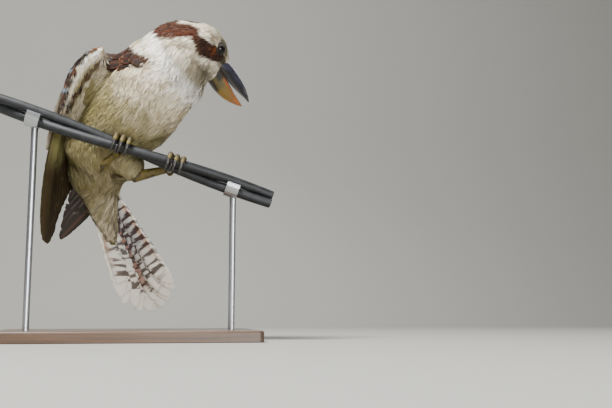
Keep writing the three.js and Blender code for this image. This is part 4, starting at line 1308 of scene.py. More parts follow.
def tail_colour(across, rng):
    """Colour of a tail feather: below, broken dark bars on white; above, bars on rufous; a white tip."""
    outer = abs(across)
    phase = rng.uniform(-1.2, 1.2)
    seed = int(rng.integers(100, 900))

    def colour_at(coords, is_top, length, places):
        along, v = coords[:, 0], coords[:, 1]
        flat = np.stack([along, v * 8, 0 * v], 1)
        outward = v * (1 if across > 0 else -1)
        wobble = (mottle(flat, 4.0, seed) - 0.5) * 8
        from_tip = length - along + wobble + np.abs(v) * 2.0 + phase
        bar = ramp(np.abs(np.mod(from_tip, 10.4) - 5.2), 3.0, 2.3)
        patchy = ramp(mottle(flat, 7.0, seed + 7), 0.2, 0.5)
        up = ramp(from_tip, 25, 70)
        rufous = ramp(0.4 - outer, 0.0, 0.2) * ramp(from_tip, 24, 40) * ramp(outward, 0.2, -0.2)
        under = painted(
            WHITE,
            (CREAM, 0.35),
            # Painted shadow greys the underside towards the root and the inner web, most on the right half.
            (PAINTED_SHADOW_GREY, up * ramp(outward, 0.3, -0.6) * (0.6 if across > 0 else 0.2)),
            (ORANGE_BUFF, up * ramp(np.abs(v), 0.35, 0.1) * ramp(patchy, 0.3, 0.8) * 0.7),
            (RUFOUS, rufous * 0.75),
        )
        dark = painted(
            DARK_BROWN,
            (BROWN, mottle(flat, 3.0, 61)),
            # Painted shadow dulls the dark bars there too.
            (PAINTED_SHADOW_BROWN, ramp(outward, 0.1, -0.7) * up * 0.55),
        )
        reach = ramp(outward, 0.62, 0.3)
        notch = ramp(outward, 0.62, 0.8) * ramp(from_tip, 30, 45)
        sparse = ramp(from_tip, 24, 60) * (1 if across > 0 else 0.15)
        if across < 0:
            reach = reach * (0.15 + 0.85 * ramp(patchy, 0.4, 0.9) * ramp(outward, 0.2, -0.5))
            reach = np.maximum(reach, ramp(from_tip, 85, 120) * ramp(outward, 0.4, 0.0))
            notch = notch * 0.5
        broken = np.maximum(sparse, ramp(patchy, 0.4, 0.8) * 0.9)
        bars = bar * np.maximum(reach, notch * 0.9) * ramp(from_tip, 15, 20) * broken
        above = painted(
            RUFOUS,
            (CHESTNUT, 0.5 * patchy),
            (BLACK_BROWN, bar * 0.9),
            (WHITE, ramp(from_tip, 26, 16) * (1 - bar * ramp(from_tip, 10, 14))),
            (WHITE, ramp(outer, 0.8, 0.95) * 0.6 * (1 - bar)),
        )
        # The tail's vanes are laid face down, so their top is the tail's underside.
        colour = blend(above, blend(under, dark, bars), is_top)
        quill = np.exp(-((v / 0.07) ** 2))
        return blend(colour, BROWN, quill * 0.5 * ramp(from_tip, 6, 30))

    return colour_at


def tail_feathers(rng):
    """Twelve feathers that lie in pairs, so that six tips stand apart."""
    stack = VaneStack(TAIL_FEATHERS)
    for i in range(TAIL_FEATHERS):
        group = 4 * (i // 2) / (TAIL_FEATHERS - 2) - 1
        across = group * (1 - TAIL_PAIR_STEP / 2) + (i % 2 - 0.5) * TAIL_PAIR_STEP
        half = 1 if across > 0 else 0
        pair = int(abs(i - (TAIL_FEATHERS - 1) / 2))
        level = pair * 1.1 + (0.55 if across > 0 else 0)
        length = TAIL_LENGTH * (1 + (OUTER_TAIL_SHARES[half] - 1) * (pair / 5) ** 1.6)
        angle = across * math.radians(TAIL_SPREADS[half])
        root = tail_point(-9, across * 11, level - 2)
        tip = root + TAIL_DOWN * length * math.cos(angle) + TAIL_LEFT * length * math.sin(angle)
        # The web on a feather's outer side is the narrower, most of all at the tail's edges.
        narrow = 1 - 0.55 * across
        made = vane(
            root, tip, TAIL_LEFT, TAIL_UNDER, TAIL_WIDTH, 2, TAIL_LENGTH, 0.0,
            TAIL_VANE, 150, narrow, rng, 0.36, 7,
        )
        stack.add(made, tail_colour(across, rng))
    return stack


def back_colour(share, rng):
    """Colour of a long feather of the back: dark brown, edged with chestnut towards the neck."""
    tone = rng.uniform(0.8, 1.2)
    rusty = rng.uniform(0.1, 0.75) * (1 if share < 0.5 else 0.5)

    def colour_at(coords, is_top, length, places):
        along, v = coords[:, 0] / length, coords[:, 1]
        noise = mottle(places, 2.5, 51)
        colour = painted(
            DARK_BROWN,
            (BLACK_BROWN, ramp(np.abs(v), 0.5, 0.1) * 0.6),
            (CHESTNUT, ramp(np.abs(v) + (noise - 0.5) * 0.3, 0.5, 0.9) * rusty),
            (ORANGE_BUFF, ramp(along, 0.88, 1.0) * rusty * 0.5),
        )
        return colour * tone

    return colour_at


def back_feathers(skin, rng):
    """Long overlapping feathers over the back and both shoulders."""

    def spacing_at(p, n):
        return np.where(region_names(p, n) == "mantle", BACK_SPACING, 0)

    roots, normals = skin.scatter(spacing_at, rng)
    names = region_names(roots, normals)
    lie = across_to(lie_at(roots, names), normals)
    lie = across_to(lie + rng.normal(0, 0.07, lie.shape), normals)
    share, _ = SPINE.coords(roots)
    length = np.interp(share, [0.36, 0.42, 0.6, 0.84], [22, 32, 26, 18]) * rng.uniform(0.85, 1.1, len(roots))
    tips, out = skin.nearest(roots + lie * length[:, None])
    tips = tips + out * rng.uniform(1.8, 3.4, len(roots))[:, None]
    middles, _ = skin.nearest((roots + tips) / 2)
    stack = VaneStack(len(roots))
    for i, (root, tip, middle, normal) in enumerate(zip(roots, tips, middles, normals)):
        rise = max((middle - (root + tip) / 2) @ normal, 0) + 1.2
        far = np.linalg.norm(tip - root)
        lead = np.cross(normal, tip - root)
        made = vane(
            root - normal * 0.4, tip, lead, normal, 9.5, rise, far, 0.0, BACK_VANE, 22, 1.0, rng, 0.3, 3
        )
        stack.add(made, back_colour(share[i], rng))
    return stack


# Bill

# Down a half of the bill: how far ahead, height of the top, the edge and the bottom, half width
UPPER_BILL = (
    (-18, 0, -10, -10.8, 13),
    (0, 1, -11.2, -12, 11),
    (14, -0.2, -12.4, -13.2, 9),
    (28, -2.3, -13, -13.8, 7),
    (40, -5.6, -12.9, -13.7, 4.8),
    (47, -8.4, -12.6, -13.3, 2.7),
    (50.5, -10.2, -12.6, -13.2, 1.4),
    (53, -11.7, -12.7, -13.2, 0.5),
)
LOWER_BILL = (
    (-18, -12.6, -13.6, -26, 12.4),
    (0, -12.4, -13.4, -28.4, 10.8),
    (14, -12.2, -13.2, -27.6, 8.9),
    (28, -11.6, -12.6, -24.2, 6.8),
    (40, -10.8, -11.8, -18.4, 4.4),
    (46, -10.4, -11.4, -14.8, 2.6),
    (50, -10, -10.6, -11.6, 0.9),
)
# The tongue, and the dark lining that fills the mouth behind it
TONGUE = (
    (-14, -11.5, -12.8, -14, 6.5),
    (4, -10, -12, -14, 6),
    (22, -10.4, -11.8, -13.5, 4),
    (34, -11, -11.8, -12.8, 1.4),
)
# The height above which the upper bill's black is painted grey, a painted reflection of the sky:
# how far ahead, and the height
SKY_REFLECTION_EDGE = ((-12, 0, 20, 40, 53), (-9, -6.5, -7.5, -9.5, -12.5))
BILL_GAPE = math.radians(10)
GAPE = head_point(-13, 0, -12.5)


def turned_at_gape(p):
    """Places of the closed lower bill, opened about the corners of the mouth."""
    axis, turn = HEAD_RIGHT, -BILL_GAPE
    w = p - GAPE
    cos, sin = math.cos(turn), math.sin(turn)
    return GAPE + w * cos + np.cross(axis, w) * sin + np.outer(w @ axis, axis).reshape(w.shape) * (1 - cos)


def bill_half(stations, hollow, ridge, steps=90, count=56):
    """A half of the bill with a hollowed inner face: vertices, faces and head coordinates."""
    rows = resample(stations, steps)
    turn = turns(count)
    cos, sin = np.cos(turn), np.sin(turn)
    outer = (sin > 0) == ridge
    rings = []
    for ahead, top, edge, bottom, wide in rows:
        wide = max(wide, 0.3)
        height = np.where(sin > 0, edge + (top - edge) * sin, edge + (edge - bottom) * sin)
        across = np.where(outer, np.sign(cos) * np.abs(cos) ** 0.86, cos)
        depth = hollow * min(1, max(0, (50 - ahead) / 40)) * (1 - cos**2) ** 2
        height = height + np.where(outer, 0, depth if ridge else -depth)
        rings.append(
            BILL_BASE + HEAD_AHEAD * ahead + HEAD_RIGHT * (wide * across)[:, None] + HEAD_UP * height[:, None]
        )
    return np.array(rings), outer


def bill_colours(rings, outer, upper):
    """Black above with a painted grey reflection of the sky on top, gold and orange below, a dark mouth."""
    a, r, u = head_coords(rings.reshape(-1, 3))
    inner = ~np.tile(outer, len(rings))
    noise = mottle(np.stack([a * 0.3, r, u], 1), 1.6, 71)
    broad = mottle(np.stack([a * 0.5, r, u], 1), 6.0, 73)
    if upper:
        # Above this line the top is painted grey, a painted reflection of the sky.
        over = u - (np.interp(a, *SKY_REFLECTION_EDGE) + (broad - 0.5) * 4)
        worn = ramp(a, 12, 34) * ramp(noise, 0.45, 0.7) * ramp(over, 0, 3)
        colour = painted(
            HORN_BLACK,
            (HORN_SKY_REFLECTION, ramp(over, -1.2, 1.6) * (0.6 + 0.4 * noise)),
            (HORN_WORN, worn * 0.5),
            (HORN_OLIVE, ramp(a, -6, -12) * ramp(u, -8, -10) * 0.8),
        )
    else:
        colour = painted(
            HORN_OLIVE,
            (HORN_YELLOW, ramp(a + (broad - 0.5) * 16, 6, 24) * 0.85),
            (HORN_ORANGE, ramp(u + (noise - 0.5) * 2, -17, -13.6) * ramp(a, -4, 6) * 0.85),
            (HORN_ORANGE, ramp(a + (broad - 0.5) * 14, 26, 42) * 0.75),
            (HORN_BLACK, ramp(a + (noise - 0.5) * 6, 4, -2) * ramp(u, -22.5, -20) * 0.9),
            (HORN_BLACK, ramp(a + (noise - 0.5) * 4, 15, 11) * ramp(u, -24.5, -26) * 0.9),
            (HORN_BLACK, ramp(broad, 0.62, 0.75) * 0.25),
        )
    colour = blend(colour, MOUTH_DARK if upper else HORN_OLIVE, inner * 0.95)
    return colour * (0.88 + 0.24 * noise[:, None])


def with_ends(colours):
    """Adds the colours of the points that a loft puts in the middle of its two ends."""
    return np.vstack([colours, colours[:1], colours[-1:]])


# Materials


def new_tree(name):
    material = bpy.data.materials.get(name) or bpy.data.materials.new(name)
    material.use_nodes = True
    tree = material.node_tree
    tree.nodes.clear()
    return material, tree


def node(tree, kind, links=None, **settings):
    """Adds a node with its settings and links: a link's value is a node's output or a constant."""
    made = tree.nodes.new(kind)
    for key, value in settings.items():
        setattr(made, key, value)
    for socket, value in (links or {}).items():
        if isinstance(value, bpy.types.NodeSocket):
            tree.links.new(value, made.inputs[socket])
        else:
            made.inputs[socket].default_value = value
    return made


def shade(tree, **links):
    """The surface shader and the output, with sockets named by words joined with underscores."""
    named = {key.replace("_", " "): value for key, value in links.items()}
    shader = node(tree, "ShaderNodeBsdfPrincipled", named)
    node(tree, "ShaderNodeOutputMaterial", {"Surface": shader.outputs[0]})


def multiplied(tree, vector, by):
    return node(tree, "ShaderNodeVectorMath", {0: vector, 1: by}, operation="MULTIPLY").outputs[0]


def object_mm(tree):
    """Places on the object in millimetres."""
    return multiplied(tree, node(tree, "ShaderNodeTexCoord").outputs["Object"], (1000, 1000, 1000))


def painted_colour(tree):
    """The colour that is kept with the mesh's vertices."""
    return node(tree, "ShaderNodeAttribute", attribute_name="Plumage").outputs["Color"]


def stretched(tree, scale, turn=(0, 0, 0)):
    """Places on the object in millimetres, turned and stretched."""
    links = {"Vector": object_mm(tree), "Rotation": turn, "Scale": scale}
    return node(tree, "ShaderNodeMapping", links).outputs[0]


def noise_value(tree, place, scale, detail, roughness=0.5):
    links = {"Vector": place, "Scale": scale, "Detail": detail, "Roughness": roughness}
    return node(tree, "ShaderNodeTexNoise", links).outputs[0]


def ranged(tree, value, low, high, start=0.0, end=1.0):
    """A value from start to end, turned into one from low to high."""
    links = {"Value": value, "From Min": start, "From Max": end, "To Min": low, "To Max": high}
    return node(tree, "ShaderNodeMapRange", links).outputs[0]


def scaled(tree, colour, share):
    return node(tree, "ShaderNodeVectorMath", {0: colour, "Scale": share}, operation="SCALE").outputs[0]


def mixed(tree, share, first, second):
    links = {0: share, "A": (*first, 1), "B": (*second, 1)}
    return node(tree, "ShaderNodeMix", links, data_type="RGBA").outputs["Result"]


def bump(tree, height, strength, distance):
    links = {"Height": height, "Strength": strength, "Distance": distance}
    return node(tree, "ShaderNodeBump", links).outputs[0]


def plumage_material():
    """Contour feathers: loose keratin barbs, matt, with a soft sheen where they catch the light."""
    material, tree = new_tree("contour_feathers_loose_webbed")
    barbs = noise_value(tree, object_mm(tree), 1.4, 4.0)
    shade(
        tree,
        Base_Color=scaled(tree, painted_colour(tree), ranged(tree, barbs, 0.9, 1.08, 0.3, 0.7)),
        Normal=bump(tree, barbs, 0.35, 0.0004),
        Roughness=0.8,
        Specular_IOR_Level=0.12,
        Sheen_Weight=0.04,
        Sheen_Roughness=0.5,
    )
    return material


def vane_material(name, roughness):
    """Flight feathers: barbs hooked into a smooth vane, satin, with fine slanting lines."""
    material, tree = new_tree(name)
    barbs = node(tree, "ShaderNodeUVMap", uv_map="Barbs").outputs[0]
    spread = multiplied(tree, barbs, (1000, 1000, 0))
    # Real barbs are about 0.5 mm apart; they are drawn 0.9 mm apart, so that they show.
    links = {"Vector": spread, "Scale": 0.35, "Distortion": 1.2, "Detail": 2.0, "Detail Scale": 0.6}
    lines = node(tree, "ShaderNodeTexWave", links).outputs["Fac"]
    shade(
        tree,
        Base_Color=scaled(tree, painted_colour(tree), ranged(tree, lines, 0.9, 1.06)),
        Normal=bump(tree, lines, 0.3, 0.00015),
        Roughness=roughness,
        Specular_IOR_Level=0.16,
    )
    return material


def horn_material(name, roughness, coat):
    """Bill and claws: grown keratin in thin layers, satin, with fine lines along it and worn edges."""
    material, tree = new_tree(name)
    grain = noise_value(tree, object_mm(tree), 0.9, 6.0, 0.6)
    shade(
        tree,
        Base_Color=painted_colour(tree),
        Normal=bump(tree, grain, 0.25, 0.0003),
        Roughness=ranged(tree, grain, roughness - 0.08, roughness + 0.12),
        IOR=1.55,
        Coat_Weight=coat,
        Coat_Roughness=0.2,
    )
    return material


def mouth_material():
    """Mouth lining: moist skin, soft and slightly glossy."""
    material, tree = new_tree("mouth_lining_moist_skin")
    folds = noise_value(tree, object_mm(tree), 0.7, 3.0)
    colour = mixed(tree, folds, MOUTH_DARK, MOUTH_PINK)
    shade(tree, Base_Color=colour, Normal=bump(tree, folds, 0.3, 0.0004), Roughness=0.35, Coat_Weight=0.3)
    return material


def eye_material():
    """Glass eye: the iris is painted behind a clear domed front, as glossy as a wet eye."""
    material, tree = new_tree("eye_domed_glass")
    shade(tree, Base_Color=painted_colour(tree), Roughness=0.06, IOR=1.38)
    return material


def leg_material():
    """Legs and toes: horny skin in small plates, dull to satin, darker between the plates."""
    material, tree = new_tree("leg_skin_scaly")
    # Scales on the toes are about 1.2 mm across.
    links = {"Vector": object_mm(tree), "Scale": 0.85}
    cells = node(tree, "ShaderNodeTexVoronoi", links, feature="DISTANCE_TO_EDGE").outputs["Distance"]
    plate = ranged(tree, cells, 0.45, 1.05, 0.0, 0.14)
    shade(
        tree,
        Base_Color=scaled(tree, painted_colour(tree), plate),
        Normal=bump(tree, plate, 0.5, 0.0004),
        Roughness=0.5,
        Coat_Weight=0.12,
        Coat_Roughness=0.3,
    )
    return material


def cable_material(colour):
    """Polyethylene sheath: extruded black plastic, chalked by weather, with fine drawn lines."""
    material, tree = new_tree("polyethylene_sheath_weathered")
    drawn = noise_value(tree, stretched(tree, (0.04, 1.6, 1.6), (0, CABLE_SLOPE, 0)), 1.2, 5.0)
    dust = noise_value(tree, object_mm(tree), 0.12, 5.0)
    chalk = ranged(tree, dust, 0.0, 0.3, 0.42, 0.75)
    shade(
        tree,
        Base_Color=mixed(tree, chalk, colour, CHALK_GREY),
        Normal=bump(tree, drawn, 0.35, 0.0004),
        Roughness=ranged(tree, dust, 0.42, 0.65),
        IOR=1.51,
    )
    return material


def cut_metal_material():
    """Aluminium strands, sawn off: pale grey metal with fine saw lines."""
    material, tree = new_tree("aluminium_strands_sawn")
    saw = bump(tree, noise_value(tree, object_mm(tree), 3.0, 2.0), 0.4, 0.0002)
    shade(tree, Base_Color=(*ALUMINIUM, 1), Metallic=1.0, Roughness=0.4, Normal=saw)
    return material


def wood_material(colour):
    """Stained beech: planed and lacquered, with fine dark pores along the grain."""
    material, tree = new_tree("beech_stained_lacquered")
    # Growth rings show about 6 mm apart across the board, drawn out along it.
    rows = stretched(tree, (0.03, 1.0, 1.0))
    grain = ranged(tree, noise_value(tree, rows, 0.16, 7.0, 0.62), 0.0, 1.0, 0.38, 0.62)
    dark = tuple(c * 0.55 for c in colour)
    light = tuple(min(1, c * 1.5) for c in colour)
    shade(
        tree,
        Base_Color=mixed(tree, grain, dark, light),
        Normal=bump(tree, noise_value(tree, rows, 1.6, 2.0), 0.15, 0.0003),
        Roughness=0.42,
        Coat_Weight=0.35,
        Coat_Roughness=0.25,
    )
    return material


def steel_material(colour):
    """Stainless steel rod: drawn and brushed, with fine rings of light round it."""
    material, tree = new_tree("stainless_steel_brushed")
    brush = noise_value(tree, stretched(tree, (0.2, 0.2, 6.0)), 1.5, 3.0)
    shade(
        tree,
        Base_Color=(*colour, 1),
        Metallic=1.0,
        Roughness=ranged(tree, brush, 0.22, 0.42),
        Normal=bump(tree, brush, 0.1, 0.0001),
    )
    return material


def paper_material(colour):
    """Studio backdrop: matt paper with a faint tooth."""
    material, tree = new_tree("studio_paper_matt")
    tooth = bump(tree, noise_value(tree, object_mm(tree), 0.5, 2.0), 0.05, 0.0003)
    shade(tree, Base_Color=(*colour, 1), Roughness=0.9, Normal=tooth)
    return material


# Settings


def colour_setting(name, description, code):
    """A setting that holds a colour, with its usual value from an sRGB code."""
    return FloatVectorProperty(
        name=name, description=description, default=linear(code), subtype="COLOR", size=3, min=0, max=1
    )


class PlumageSettings(bpy.types.PropertyGroup):
    coat_depth: FloatProperty(
        name="Coat depth",
        description="How far the skin lies inside the solids",
        default=0.0017,
        min=0.0005,
        max=0.004,
        unit="LENGTH",
    )
    spacing_share: FloatProperty(
        name="Spacing",
        description="Distance between feather roots against the usual",
        default=1.0,
        min=0.8,
        max=3.0,
        subtype="FACTOR",
    )
    length_share: FloatProperty(
        name="Feather length",
        description="Length of the small feathers against the usual",
        default=1.0,
        min=0.5,
        max=1.5,
        subtype="FACTOR",
    )
    seed: IntProperty(name="Seed", description="Another number lays the feathers anew", default=7, min=0)


class FinishSettings(bpy.types.PropertyGroup):
    eye_radius: FloatProperty(
        name="Eye radius", description="Radius of the eyeball", default=0.0062, unit="LENGTH"
    )
    iris: colour_setting("Iris", "Colour of the iris", "#140C08")
    sheath: colour_setting("Cable sheath", "Colour of the cable's sheath", "#0D0E10")
    wood: colour_setting("Base", "Stain of the wooden base", "#4A3626")
    steel: colour_setting("Rods", "Colour of the steel rods", "#B4B6B8")


class StudioSettings(bpy.types.PropertyGroup):
    paper: colour_setting("Backdrop", "Colour of the floor and backdrop", "#94938D")
    key_power: FloatProperty(
        name="Key light", description="Power of the main soft light", default=105.0, min=0, unit="POWER"
    )
    fill_power: FloatProperty(
        name="Fill light", description="Power of the fill light", default=30.0, min=0, unit="POWER"
    )


# Operators


class SkinStore:
    """Keeps the skin's surface for the operators that lay feathers on it."""

    made = None


class BuildSkin(bpy.types.Operator):
    """Make one skin over the torso, neck, head and thighs"""

    bl_idname = "kookaburra.build_skin"
    bl_label = "Skin"

    def execute(self, context):
        depth = context.scene.kookaburra_plumage.coat_depth / MM
        skin = Skin(depth)
        SkinStore.made = skin
        names = region_names(skin.points, skin.normals)
        # The skin is painted a little darker than the feathers on it, as painted shade beneath them.
        colours = coat_colours(skin.points, names) * 0.8
        layers = {"Plumage": colours, "OFBake": bake_places(*SPINE.coords(skin.points))}
        piece = build_object("skin", skin.points, [skin.quads], plumage_material(), layers)
        keep(piece, "pale_plumage", "torso", "neck", "head", "thigh_left", "thigh_right")
        return {"FINISHED"}


def made_skin():
    if SkinStore.made is None:
        raise RuntimeError("make the skin first")
    return SkinStore.made


def scattered_feathers(skin, settings, rng):
    """The region of every small feather, and its measures under the names that a tuft takes."""

    def spacing_at(p, n):
        return coat_rows(region_names(p, n))[:, 0] * settings.spacing_share

    root, normal = skin.scatter(spacing_at, rng)
    count = len(root)
    names = region_names(root, normal)
    rows = coat_rows(names)
    lie = across_to(lie_at(root, names), normal)
    lie = across_to(lie + rng.normal(0, 0.09, lie.shape), normal)
    length = rows[:, 1] * rng.uniform(0.85, 1.15, count) * settings.length_share
    # The face's feathers are shorter towards the bill.
    ahead, _, _ = head_coords(root)
    length *= 1 - 0.55 * ramp(ahead, -22, -4) * (names == "face")
    width = rows[:, 2] * rng.uniform(0.85, 1.15, count)
    lift = np.radians(rows[:, 4]) * rng.uniform(0.6, 1.3, count)
    place, out = skin.nearest(root + lie * (length * 0.96)[:, None])
    tip = place + out * (rows[:, 5] * rng.uniform(0.5, 1.2, count))[:, None]
    tip = tip + (names == "throat")[:, None] * np.array([0, 0, -1.5])
    showing = root + lie * (length * 0.6)[:, None]
    tone = rng.normal(1, 0.08, (count, 1))
    streak = rows[:, 6] * rng.random(count) ** 1.5
    return names, {
        "root": root,
        "normal": normal,
        "lie": lie,
        "tip": tip,
        "length": length,
        "width": width,
        "lift": lift,
        "colour": coat_colours(showing, names) * tone,
        "tip_colour": coat_colours(showing + lie * 1.5, names) * tone * 1.04,
        "streak": streak,
        "edge": rows[:, 7],
    }


class LayCoat(bpy.types.Operator):
    """Lay the small feathers over the skin, region by region"""

    bl_idname = "kookaburra.lay_coat"
    bl_label = "Small feathers"

    def execute(self, context):
        settings = context.scene.kookaburra_plumage
        rng = np.random.default_rng(settings.seed)
        material = plumage_material()
        names, feathers = scattered_feathers(made_skin(), settings, rng)
        share, angle = SPINE.coords(feathers["root"])
        for name, (slot, regions) in COAT_PIECES.items():
            parts, colours, patches = [], [], []
            for region in regions:
                on = names == region
                if not on.any():
                    continue
                strands = int(coat_rows([region])[0, 3])
                fray = 0.16 if region == "throat" else 0.1
                grown = {key: values[on] for key, values in feathers.items()}
                points, faces, shades = feather_tufts(**grown, strands=strands, rng=rng, fray=fray)
                parts.append((points, [faces]))
                colours.append(shades)
                patches.append(bake_patches(share[on], angle[on], strands * 7, rng))
            points, faces = joined(parts)
            if len(faces[0]) >= PIECE_LIMIT:
                raise RuntimeError(f"{name} has {len(faces[0])} triangles, over the limit of one piece")
            points = clear_of_eyes(clear_of_cable(points))
            layers = {"Plumage": np.vstack(colours), "OFBake": np.vstack(patches)}
            keep(build_object(name, points, faces, material, layers), slot)
        return {"FINISHED"}


class BuildWings(bpy.types.Operator):
    """Make both wings' flight feathers and their tiers of coverts"""

    bl_idname = "kookaburra.build_wings"
    bl_label = "Wing feathers"

    def execute(self, context):
        rng = np.random.default_rng(context.scene.kookaburra_plumage.seed + 1)
        material = vane_material("flight_feathers_hooked_vanes", 0.5)
        for side, wing in (("right", RIGHT_WING), ("left", LEFT_WING)):

            def flight(i):
                return flight_colour(1.0 if i < wing["primaries"] else 0.3, rng, side)

            def large_covert(i):
                return covert_colour(rng, 0.75)

            def small_covert(i):
                return covert_colour(rng, 0.9)

            count = wing["count"]
            tiers = (
                (count, wing["tips"], (17, 21), 0, WING_VANE, 64, flight, rng, 4.5 / count, 0.34),
                (14, covert_tips(wing, 0.42), (12, 14), 5.4, COVERT_VANE, 30, large_covert, rng, 0.3, 0.3),
                (20, covert_tips(wing, 0.27), (8, 9), 7.0, COVERT_VANE, 20, small_covert, rng, 0.15, 0.26),
            )
            stack = VaneStack(sum(tier[0] for tier in tiers))
            for tier in tiers:
                fan_of_vanes(stack, wing, *tier)
            keep(stack.piece("wing_feathers_" + side, material), "wing_feathers", "wing_" + side)
        return {"FINISHED"}


class BuildTail(bpy.types.Operator):
    """Make the twelve barred tail feathers"""

    bl_idname = "kookaburra.build_tail"
    bl_label = "Tail feathers"

    def execute(self, context):
        rng = np.random.default_rng(context.scene.kookaburra_plumage.seed + 2)
        piece = tail_feathers(rng).piece("tail_vanes", vane_material("tail_feathers_hooked_vanes", 0.55))
        keep(piece, "tail_feathers", "tail")
        return {"FINISHED"}


class BuildBack(bpy.types.Operator):
    """Lay the long feathers over the back and the shoulders"""

    bl_idname = "kookaburra.build_back"
    bl_label = "Back feathers"

    def execute(self, context):
        rng = np.random.default_rng(context.scene.kookaburra_plumage.seed + 3)
        stack = back_feathers(made_skin(), rng)
        keep(stack.piece("back_feathers", vane_material("back_feathers_soft_vanes", 0.6)), "wing_feathers")
        return {"FINISHED"}


class BuildBill(bpy.types.Operator):
    """Make both halves of the bill, the nostrils and the tongue"""

    bl_idname = "kookaburra.build_bill"
    bl_label = "Bill"

    def execute(self, context):
        rings, outer = bill_half(UPPER_BILL, 3.2, True)
        colours = bill_colours(rings, outer, True)
        for side in (-1, 1):
            # A nostril is a dark slit, sunk 1.1 mm into the bill's side.
            out = rings - head_point(5, side * 7.9, -3.6)
            along, high = out @ HEAD_AHEAD, out @ HEAD_UP
            on_side = (rings - BILL_BASE) @ HEAD_RIGHT * side > 0
            near = np.exp(-((along / 2.2) ** 2) - (high / 0.8) ** 2) * on_side
            rings = rings - HEAD_RIGHT * side * (near * 1.1)[..., None]
            colours = blend(colours, HORN_BLACK, near.reshape(-1) * 0.9)
        horn = horn_material("horn_dark_polished", 0.34, 0.25)
        add_piece("bill_top", loft(rings), horn, "bill_upper", ["bill_upper"], with_ends(colours))
        rings, outer = bill_half(LOWER_BILL, 4.2, False)
        colours = with_ends(bill_colours(rings, outer, False))
        horn = horn_material("horn_yellow_polished", 0.38, 0.2)
        add_piece("bill_bottom", self.opened(rings), horn, "bill_lower", ["bill_lower"], colours)
        rings, _ = bill_half(TONGUE, 0, True, 40, 32)
        add_piece("tongue", self.opened(rings), mouth_material(), "bill_lower")
        return {"FINISHED"}

    def opened(self, rings):
        """A closed shape through the rings, turned with the lower bill."""
        vertices, faces = loft(rings)
        return turned_at_gape(vertices), faces


def eye_rings(centre, gaze, radius):
    """An eyeball as rings round its gaze, with a slightly domed front: rings and angles."""
    side = across_to(HEAD_UP, gaze)
    other = np.cross(gaze, side)
    angles = np.radians(np.concatenate([np.linspace(0.5, 60, 34), np.linspace(64, 178, 26)]))
    turn = turns(48)
    around = np.cos(turn)[:, None] * side + np.sin(turn)[:, None] * other
    reach = radius * (1 + 0.06 * np.exp(-((angles / 0.55) ** 2)))
    ahead = (reach * np.cos(angles))[:, None, None] * gaze
    return centre + ahead + (reach * np.sin(angles))[:, None, None] * around, angles, turn


# Round the lids from the opening outwards: how far out, and how high
LID_RIM = (
    (0, -0.5), (0.05, 0.1), (0.3, 0.4), (0.6, 0.25), (0.9, 0.35),
    (1.3, 0.15), (1.7, 0.1), (2.3, -0.4), (2.9, -1.4),
)
# Degrees from the eye's gaze: where the pupil ends and where the iris darkens, each with its blur
PUPIL_EDGE = (27, 23)
IRIS_EDGE = (46, 54)


class BuildEyes(bpy.types.Operator):
    """Make the eyes and the rims of their lids"""

    bl_idname = "kookaburra.build_eyes"
    bl_label = "Eyes and lids"

    def execute(self, context):
        settings = context.scene.kookaburra_finish
        radius = settings.eye_radius / MM
        glass = eye_material()
        lid = horn_material("eyelid_skin_bare", 0.7, 0.0)
        for name, side in (("left", -1), ("right", 1)):
            centre = eye_centre(side)
            gaze = unit(HEAD_RIGHT * side + HEAD_AHEAD * 0.12 + HEAD_UP * 0.03)
            rings, angles, turn = eye_rings(centre, gaze, radius)
            band = np.repeat(angles, len(turn))
            ray = 0.5 + 0.5 * np.sin(np.tile(turn, len(angles)) * 37 + band * 9)
            colour = painted(
                np.array(settings.iris) * (0.6 + 0.9 * ray[:, None]),
                (EYE_BLACK, ramp(band, *np.radians(PUPIL_EDGE))),
                (EYE_BLACK, ramp(band, *np.radians(IRIS_EDGE))),
            )
            colour = np.vstack([colour, [EYE_BLACK, EYE_BLACK]])
            add_piece("eyeball_" + name, loft(rings), glass, "eye", ["eye_" + name], colour)
            self.lids(name, centre, gaze, radius, lid)
        return {"FINISHED"}

    def lids(self, name, centre, gaze, radius, material):
        """A rim of bare skin round an almond opening, wrinkled in fine rings."""
        ahead = across_to(HEAD_AHEAD, gaze)
        up = np.cross(gaze, ahead)
        if up @ HEAD_UP < 0:
            up = -up
        turn = turns(96)
        cos, sin = np.cos(turn), np.sin(turn)
        opening = 4.9 - 0.5 * np.abs(sin) ** 1.5
        rings = []
        for outward, raised in LID_RIM:
            wide = opening + outward
            fall = np.maximum((radius + 0.25) ** 2 - np.minimum(wide, radius) ** 2, 0)
            depth = np.sqrt(fall) + raised * 0.7
            place = centre + ahead * (wide * cos)[:, None] + up * (wide * sin)[:, None]
            rings.append(place + gaze * depth[:, None])
        vertices, faces = loft(np.array(rings), closed_ends=False)
        colours = np.array(LID_DARK) * (0.75 + 0.5 * mottle(vertices, 0.8, 81))[:, None]
        piece = build_object("eyelids_" + name, vertices, faces, material, {"Plumage": colours})
        modifier = piece.modifiers.new("thickness", "SOLIDIFY")
        modifier.thickness = 0.0003
        keep(piece, "pale_plumage")


# Toes and claws, as how far behind the cable's axis and how far over it they reach
FRONT_TOE = ((15.5, 1), (12.6, 7), (6, 9), (-3, 9.1), (-10.6, 7.4), (-14.1, 1))
HIND_TOE = ((15.5, -1), (12.4, -7), (6, -9), (-1, -9.1), (-7.5, -9))
FRONT_CLAW = ((-14, 1.8), (-14.6, -3), (-13.4, -8), (-10.6, -11.6))
HIND_CLAW = ((-6.9, -9), (-11.4, -8.6), (-15, -5.6), (-16.4, -2))
# How far along the cable each front toe and the hind toe come to lie from the foot's middle
TOE_SPREADS = {"1": -7.5, "2": 0.0, "3": 7.2}
HIND_SPREAD = -3.0
